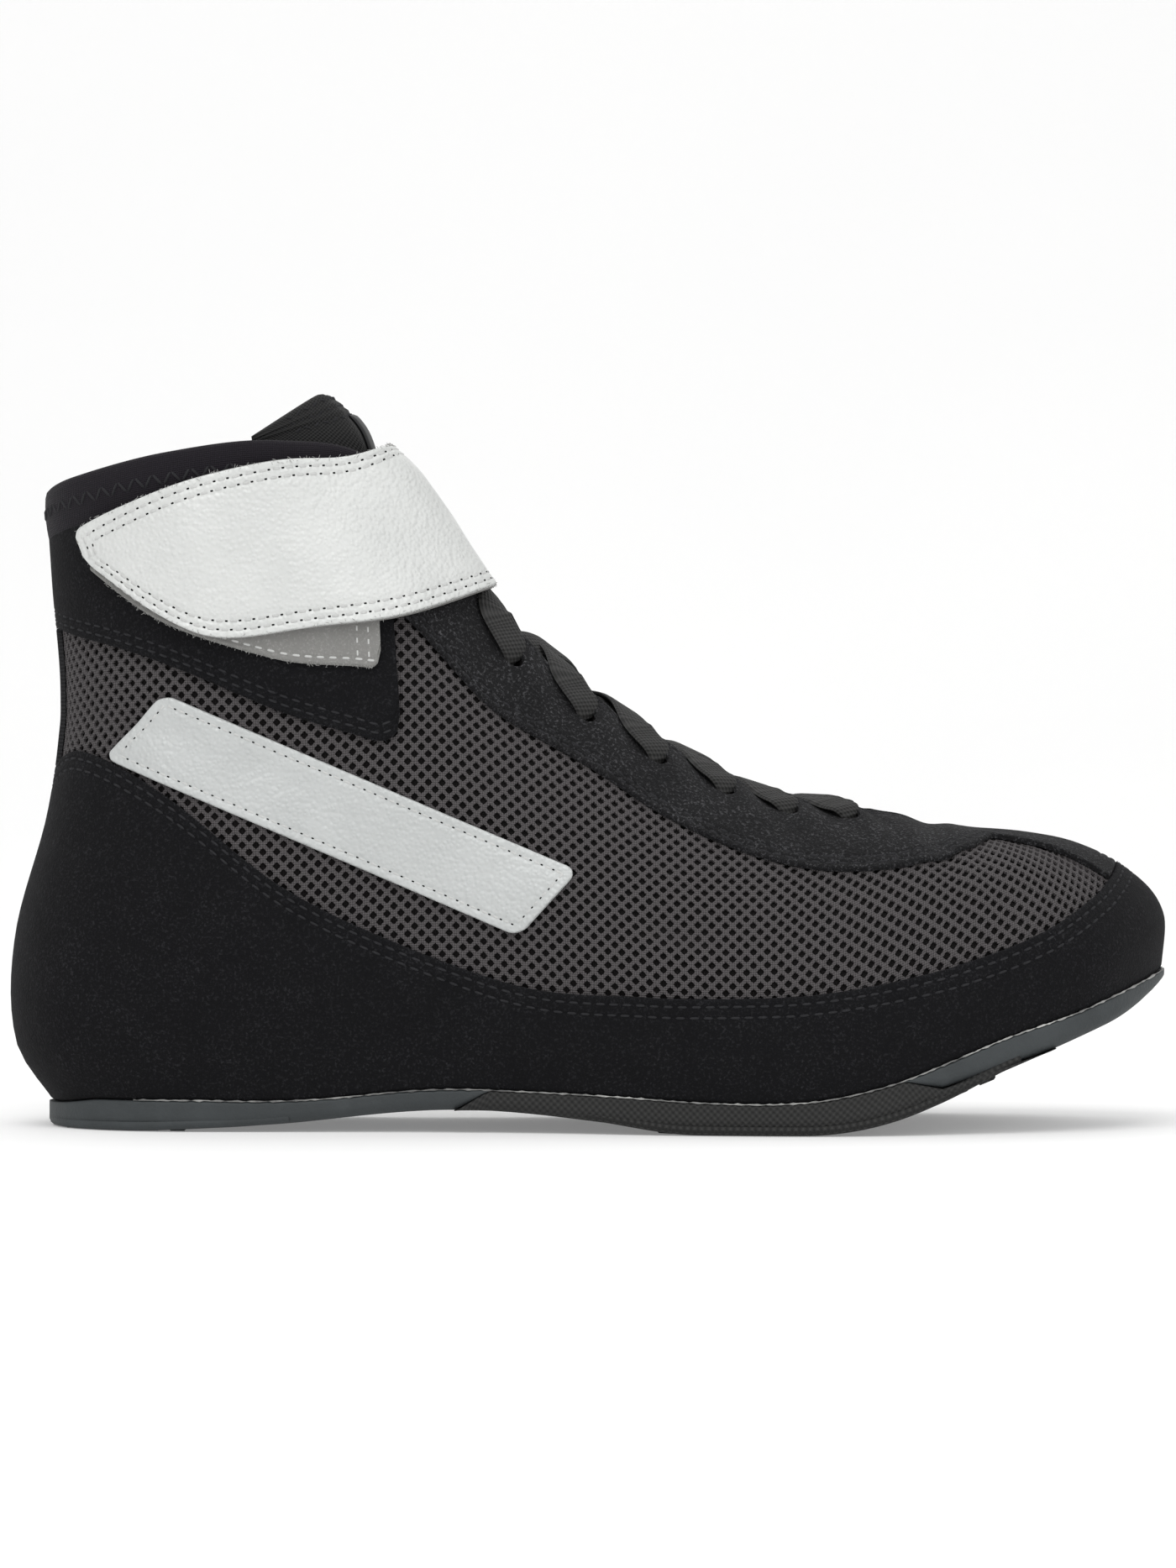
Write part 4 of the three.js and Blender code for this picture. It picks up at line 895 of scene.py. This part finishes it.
def strapSheet(d, shares):
    lines = []
    part = np.linspace(0, 1, 5)
    for side in (0, 1):
        made = []
        for upper, upperHeight, lower, lowerHeight in strapRows:
            if side and upper < 2.3:
                continue
            p = lower + (upper - lower) * part
            w = lowerHeight + (upperHeight - lowerHeight) * part
            made.append(surf(24 - p if side else p, w, d, 0.0, 0.0))
        if side:
            made.reverse()
        else:
            p = 5.05 + (3.92 - 5.05) * part
            left, right = [overThroat(p, k, d + 1.4, 0.0) for k in (-1, 1)]
            for k in (-1, -0.5, 0, 0.5, 1):
                point = overThroat(p, k, d + 1.4, 0.0)
                point = point + (left + (right - left) * (k + 1) / 2 - point) * 0.75
                point[:, 2] += part * 3
                made.append(point)
        lines += made
    grid = soften(soften(curve(np.array(lines), strapCount, False, 0.52), 4), 4)
    full = crosswise(grid, lambda grid: curve(grid, 161))
    a = np.minimum((shares * 160).astype(int), 159)
    f = (shares * 160 - a)[..., None]
    rows = np.arange(strapCount)[:, None]
    return full[rows, a] * (1 - f) + full[rows, a + 1] * f


def strapLayer(name, slotName, spec, nodes=()):
    flat = strapSheet(strapInside, np.linspace(0, 1, 161)[None].repeat(strapCount, 0))
    width, run = runOf(flat, 1)[:, -1:], runOf(flat[:, 80])[:, None]
    fromEnd = np.minimum(run, run[-1] - run)
    trim = spec["inset"] + 3 * (1 - rounded(fromEnd, 3))
    dist = trim + acrossMarks(width, 24) * (width - 2 * trim) / width
    low, high = [strapSheet(strapInside + d, dist / width) for d in (0, strapThickness)]
    edge = np.minimum(np.minimum(dist, width - dist) - trim, fromEnd)
    depth = spec["thickness"] * (0.3 + 0.7 * rounded(edge, spec["edge"]))
    for s in spec["seams"]:
        depth = depth - 0.3 * ridge(edge, s, 0.5)
    depth = depth + spec["wave"] * np.sin(run / 9) * np.sin(dist / 11 + 1)
    inner = low + (high - low) * (spec["base"] / strapThickness)
    outer = low + (high - low) * ((spec["base"] + depth) / strapThickness)[..., None]
    shell(name, slotName, outer, inner, False, nodes)
    return outer, edge


backing = {"base": 0.0, "thickness": 1.15, "edge": 0.5, "inset": 0.0, "seams": (), "wave": 0.0}
strapLayer("strap_backing", "loop_fabric", backing)
leather = {"base": 1.2, "thickness": 1.25, "edge": 0.8, "inset": 0.3, "seams": (2.6, 4.6), "wave": 0.12}
strapTop, strapEdge = strapLayer("strap", "silver_leather", leather, ("strap",))


def contour(grid, edge, level):
    # lines across the sheet where the distance to the edge is the level, from both long sides
    rows = []
    half = grid.shape[1] // 2
    normals = unit(np.cross(np.gradient(grid, axis=0), np.gradient(grid, axis=1)))
    for columns in (slice(0, half), slice(grid.shape[1] - 1, half, -1)):
        points, ups = [], []
        for i in range(len(grid)):
            e = edge[i, columns]
            if e.max() < level:
                continue
            k = int(np.argmax(e >= level))
            k0 = max(k - 1, 0)
            t = (level - e[k0]) / max(e[k] - e[k0], 1e-6)
            line, n = grid[i, columns], normals[i, columns]
            points.append(line[k0] + (line[k] - line[k0]) * min(max(t, 0), 1))
            ups.append(n[k])
        rows.append((np.array(points), np.array(ups)))
    reached = np.flatnonzero(edge.max(1) >= level)
    for i in (reached[0], reached[-1]):
        inside = np.flatnonzero(edge[i] > level * 0.97)
        rows.append((grid[i, inside], normals[i, inside]))
    return rows


strapThread = [row for level in (2.6, 4.6) for row in contour(strapTop, strapEdge, level)]
stitches("strap_stitches", "pale_thread", strapThread, 2.5, 0.46, 3.35)
# dark dots between the stitches: painted shade of the needle holes
stitches("strap_hole_shade", "needle_hole_shade", strapThread, 1.0, 0.26, 3.35, 0.0, 0.5)
fibres("strap_fibres", "raw_edge", contour(strapTop, strapEdge, 0.3), 1.2, 0.7)
print("strap: done", flush=True)

# Loop patch, its lower edge sewn with pale thread
patchBack, patchFront = 1.3, 3.89


def patchEdge(p):
    return at("patch", p) - 0.014


def patchBottom(p):
    return patchEdge(p) + 0.03 * (1 - rounded(patchFront - p, 0.12))


patch = {"inside": 1.8, "thickness": 1.2, "edge": 0.8, "middle": 20, "lowSeams": (1.7,)}
patchPlaces, patchLine = places(patchBack, patchFront, 0.03), places(1.45, 3.8, 0.01)
band("loop_patch", "loop_fabric", patch, patchPlaces, patchBottom, 0.91, ("loop_patch",))
patchRows = alongEdge(patchLine, patchEdge, (1.8,), 2.85)
for p in (3.68, 3.78):
    upLine = np.full(40, p)
    w = np.linspace(at("patch", p) - 0.01 + 1.0 / chord(p), 0.9, 40)
    patchRows.append((surf(upLine, w, 2.9), faceNormal(upLine, w)))
stitches("patch_stitches", "pale_thread", patchRows, 2.2, 0.32, 3.0)
fibres("patch_fibres", "raw_edge", alongEdge(patchLine, patchBottom, (0.25,), 2.85), 1.0, 0.35)

# Silver bar on each quarter
barSpec = {"x": 0.285 * shoeLength, "z": 0.508 * shaftHeight, "length": 108.0, "width": 20.0, "corner": 3.0,
           "slope": math.radians(23.0), "inside": 0.3, "thickness": 1.0, "seam": 2.2}


def sideBar(name, pStart, pEnd):
    grid = wallGrid(pStart, pEnd)[1]
    reach, half, corner = barSpec["length"] / 2, barSpec["width"] / 2, barSpec["corner"]
    ends = np.concatenate([[0, 0.1, 0.3, 0.6, 1.0, 1.6, 2.4], np.linspace(3.2, reach, 60)])
    along = np.concatenate([-reach + ends, (reach - ends[::-1])[1:]])
    limit = half - corner + corner * rounded(reach - np.abs(along), corner)
    edges = np.array([0, 0.1, 0.25, 0.5, 0.8, 1.3, 1.8, 2.3, 2.9])
    across = np.concatenate([edges, np.linspace(3.8, 16.2, 14), 20 - edges[::-1]]) / 10 - 1
    a, c = np.broadcast_arrays(along[:, None], across[None, :] * limit[:, None])
    lean, cosine, sine = a + c * 0.35, math.cos(barSpec["slope"]), math.sin(barSpec["slope"])
    x, z = barSpec["x"] + lean * cosine + c * sine, barSpec["z"] - lean * sine + c * cosine
    i, j, _ = unroll(x, z, grid[..., 0], grid[..., 2])
    p, w = pStart + (pEnd - pStart) * i / 360, j / 80
    edge = np.minimum(limit[:, None] - np.abs(c), reach - np.abs(a))
    depth = barSpec["thickness"] * (0.3 + 0.7 * rounded(edge, 0.6)) - 0.25 * ridge(edge, barSpec["seam"], 0.4)
    outer, inner = [surf(p, w, barSpec["inside"] + d) for d in (depth, 0)]
    if pStart >= 12:
        outer, inner, edge = outer[::-1], inner[::-1], edge[::-1]
    shell(name, "bar_leather", outer, inner, False, (name,))
    return contour(outer, edge, barSpec["seam"])


barThread = sideBar("side_bar_outer", 0.3, 9.5) + sideBar("side_bar_inner", 14.5, 23.7)
stitches("bar_stitches", "pale_thread", barThread, 2.0, 0.36, 2.9)
# dark dots between the stitches: painted shade of the needle holes
stitches("bar_hole_shade", "needle_hole_shade", barThread, 0.9, 0.24, 2.9, 0.0, 0.5)
print("bars: done", flush=True)

# Laces: flat woven ribbon out of each eyelet, across the throat and back in under the other side
laceSpec = {"width": 8.8, "thickness": 1.3, "over": 2.55, "under": -3.1, "apart": 0.6, "crown": 0.1}


def laceStrand(fromPlace, toPlace, sign, lift):
    # sign: 1 starts on the outer side, -1 on the inner side
    near = lambda p: p if sign > 0 else 24 - p
    over, under = laceSpec["over"], laceSpec["under"]
    low = eyeletHeight(fromPlace)
    crown = laceSpec["crown"] * ease((fromPlace - 5.2) / 0.6)
    # share of the way from eyelet to edge, lean towards the ankle, distance, width, height
    climb = [(0.04, 0.0, -2.4, 0.42, 1.5), (0.06, 0.01, 0.8, 0.6, 1.3), (0.26, 0.04, over, 0.95, 1.0),
             (0.6, 0.1, over, 1.0, 1.0), (0.95, 0.16, over, 1.0, 1.0)]
    points, faces, sizes = [], [], []
    for share, lean, d, width, height in climb:
        p, w = near(fromPlace - lean), low + (1 - low) * share
        points.append(surf(p, w, d))
        faces.append(faceNormal(p, w))
        sizes.append((width, height))
    for k in np.linspace(-0.7, 0.7, 5):
        share = (k + 1) / 2
        p = fromPlace - 0.18 + (toPlace + 0.12 - fromPlace + 0.18) * share
        d = over + (under - over) * ease(share) + (crown + lift * laceSpec["apart"]) * (1 - k * k) ** 2
        points.append(overThroat(p, sign * k, d))
        faces.append(unit(overThroat(p, sign * k, d + 0.5) - points[-1]))
        sizes.append((1.0, 1.0))
    for w, lean, width in ((1 - 1 / chord(toPlace), 0.06, 1.0), (eyeletHeight(toPlace), 0.0, 0.7)):
        p = 24 - near(toPlace + lean)
        points.append(surf(p, w, under))
        faces.append(faceNormal(p, w))
        sizes.append((width, 1.0))
    path, up, size = curve(points, 70), unit(curve(faces, 70)), curve(sizes, 70)[:, None]
    along = unit(np.gradient(path, axis=0))
    side = unit(np.cross(up, along))
    up = np.cross(along, side)
    turn = np.linspace(0, 2 * np.pi, 16, endpoint=False)
    x = np.sign(np.cos(turn)) * np.abs(np.cos(turn)) ** 0.45 * laceSpec["width"] / 2 * size[..., 0]
    y = np.sign(np.sin(turn)) * np.abs(np.sin(turn)) ** 0.8 * laceSpec["thickness"] / 2 * size[..., 1]
    return path[:, None] + side[:, None] * x[..., None] + up[:, None] * y[..., None]


for i in range(6):
    strands = [laceStrand(eyelets[i + 1], eyelets[i], sign, sign * (-1) ** i) for sign in (1, -1)]
    joinTubes(f"lace_{i + 1}", "lace", strands, (f"lace_cross_{i + 1}",))
print("laces: done", flush=True)


# Sole: three rubber parts on one outline
def outlinePoint(p, out):
    along = footPoint(p + 0.02) - footPoint(p - 0.02)
    normal = unit(np.stack([along[..., 1], -along[..., 0], 0 * along[..., 0]], -1))
    return footPoint(p) + normal * np.asarray(out, float)[..., None]


def soleUnit(name, slotName, nodes, top, bottom, xStart, xEnd, edge=2.6, topEdge=0.7, out=2.2):
    ends = 0.012 * np.array([0.6, 2, 5, 10, 18, 30, 45])
    marks = np.concatenate([ends, np.linspace(0.8, 11.2, 260), 12 - ends[::-1]])
    x = footPoint(marks)[:, 0]
    marks = marks[(x >= xStart - 1) & (x <= xEnd + 1)]
    left, right = outlinePoint(marks, out), outlinePoint(24 - marks, out)
    middle = (left + right) / 2
    half = np.abs(left[:, 1] - right[:, 1])[:, None] / 2
    t, b = top(middle[:, :1]), bottom(middle[:, :1])
    level, depth = (t + b) / 2, np.maximum(t - b, 0.12)
    t, b = level + depth / 2, level - depth / 2
    lowRound = np.minimum(np.minimum(edge, depth * 0.55), half * 0.6)
    highRound = np.minimum(np.minimum(topEdge, depth * 0.3), half * 0.3)
    a, f = np.linspace(0, np.pi / 2, 6), np.linspace(0.1, 0.9, 6)
    inset = np.concatenate([highRound * (1 - np.sin(a)), 0 * t * f, lowRound * (1 - np.cos(a))], 1)
    z = np.concatenate([t - highRound * (1 - np.cos(a)), t - highRound - (depth - highRound - lowRound) * f,
                        b + lowRound * (1 - np.sin(a))], 1)
    sides = []
    for end in (left, right):
        line = end[:, None] + unit(middle - end)[:, None] * inset[..., None]
        line[..., 2] = z
        sides.append(line)
    share = np.array([0.25, 0.5, 0.75])[:, None]
    flat = sides[0][:, -1:] * (1 - share) + sides[1][:, -1:] * share
    crown = sides[1][:, :1] * (1 - share) + sides[0][:, :1] * share
    sections = np.concatenate([sides[0], flat, sides[1][:, ::-1], crown], 1)
    return joinTubes(name, slotName, [sections], nodes)


heelJoint = (0.384 * shoeLength, 0.411 * shoeLength)
toeJoint = (0.797 * shoeLength, 0.766 * shoeLength)
treadEnd = 0.89 * shoeLength


def heelBottom(x):
    f = np.clip((x - heelJoint[0]) / (heelJoint[1] - heelJoint[0]), 0, 1)
    return rubberBottom(x) + (soleTop(x) - rubberBottom(x)) * f


def treadLayer(x):
    return rubberBottom(x) + 2.2 * np.clip((treadEnd - x) / (treadEnd - toeJoint[0]), 0, 1)


def toeLine(x):
    f = np.clip((x - toeJoint[1]) / (toeJoint[0] - toeJoint[1]), 0, 1)
    return soleTop(x) + (treadLayer(x) - soleTop(x)) * f


def treadTop(x):
    return np.where(x < heelJoint[1], heelBottom(x) - 0.1, toeLine(x) - 0.1 * (x > toeJoint[1]))


toeBottom = lambda x: toeLine(x) + 0.05
soleUnit("heel_sole", "slate_rubber", ("heel_sole",), soleTop, heelBottom, 0, heelJoint[1])
soleUnit("tread_sole", "black_rubber", ("tread_sole",), treadTop, rubberBottom, heelJoint[0], treadEnd)
soleUnit("toe_sole", "slate_rubber", ("toe_sole",), soleTop, toeBottom, toeJoint[1], shoeLength)

# Tread: small blocks standing under heel and forefoot
treadSpec = {"pitch": 6.4, "length": 4.0, "across": 3.4, "gap": 1.5, "height": 1.6}


def treadBlocks(name, slotName, start, end):
    blocks = []
    marks = np.linspace(0.05, 11.95, 400)
    gap = treadSpec["gap"]
    for row in range(int((end - start) * shoeLength / treadSpec["pitch"])):
        x0 = start * shoeLength + row * treadSpec["pitch"]
        x1 = x0 + treadSpec["length"]
        s = np.interp((x0 + x1) / 2, footPoint(marks)[:, 0], marks)
        left, right = outlinePoint(s, -2.4)[1], outlinePoint(24 - s, -2.4)[1]
        count = int((right - left + gap) / (treadSpec["across"] + gap))
        for y0 in left + (right - left + gap) / max(count, 1) * np.arange(count):
            y1 = y0 + (right - left + gap) / count - gap
            rounds = []
            for inset, drop in ((0.35, -1.3), (0, -0.9), (0, 0.4)):
                a, b, c, d = x0 + inset, x1 - inset, y0 + inset, y1 - inset
                rounds.append([(x, y, rubberBottom(x) + drop) for x, y in ((a, c), (b, c), (b, d), (a, d))])
            blocks.append(np.array(rounds))
    joinTubes(name, slotName, blocks, (), True)


treadBlocks("heel_tread", "slate_rubber", 0.045, 0.18)
treadBlocks("forefoot_tread", "black_rubber", 0.555, 0.86)


def bead(path, wide, high, count):
    # oval rings round a level path
    along = unit(np.gradient(path, axis=0))
    level = unit(np.cross(along, [0.0, 0.0, 1.0]))
    turn = np.linspace(0, 2 * np.pi, count, endpoint=False)
    return (path[:, None] + level[:, None] * (wide * np.cos(turn))[..., None]
            + np.cross(level, along)[:, None] * (high * np.sin(turn))[..., None])


# a rounded rib of rubber round each tread, down to the floor
def treadRib(name, slotName, lines, fadeRun):
    ribs = []
    for line in lines:
        path = outlinePoint(line, 0.5)
        fade = ease(np.minimum(np.arange(len(line)), np.arange(len(line))[::-1]) / fadeRun)
        path[:, 2] = rubberBottom(path[:, 0]) + 1.5 - 1.35 * fade
        ribs.append(bead(path, 1.6, 1.35, 12))
    joinTubes(name, slotName, ribs)


treadRib("heel_rib", "slate_rubber", [np.linspace(-3.1, 3.1, 150)], 34)
treadRib("forefoot_rib", "black_rubber", [np.linspace(5.4, 9.35, 130), np.linspace(18.6, 14.65, 130)], 30)

# a pale line where the rubber's upper edge meets the suede, from the waist to the toe: partly a painted
# highlight along the edge, partly rubbed glue
highlightAndWearTubes = []
for line in (np.linspace(1.8, 11.9, 300), np.linspace(22.2, 12.1, 300)):
    path = outlinePoint(line, 1.95)
    x = path[:, :1]
    path[:, 2:] = soleTop(x) + 0.2 + 0.08 * np.sin(x * 2.1) * np.sin(x * 0.37)
    # its width comes and goes along the edge, for the painted highlight and the wear
    worn = 0.5 + 0.35 * np.sin(x * 1.9) * np.sin(x * 0.53) + 0.15 * np.sin(x * 4.7)
    highlightAndWearTubes.append(bead(path, 0.5 * worn, 0.34 * worn, 8))
joinTubes("sole_highlight_and_wear_line", "highlight_and_wear_line", highlightAndWearTubes)

# Insole
soleUnit("insole", "insole_cloth", ("insole",), lambda x: soleTop(x) + 3.8, lambda x: soleTop(x) + 0.3,
         0, shoeLength, 0.8, 1.2, -3.3)
print("sole: done", flush=True)
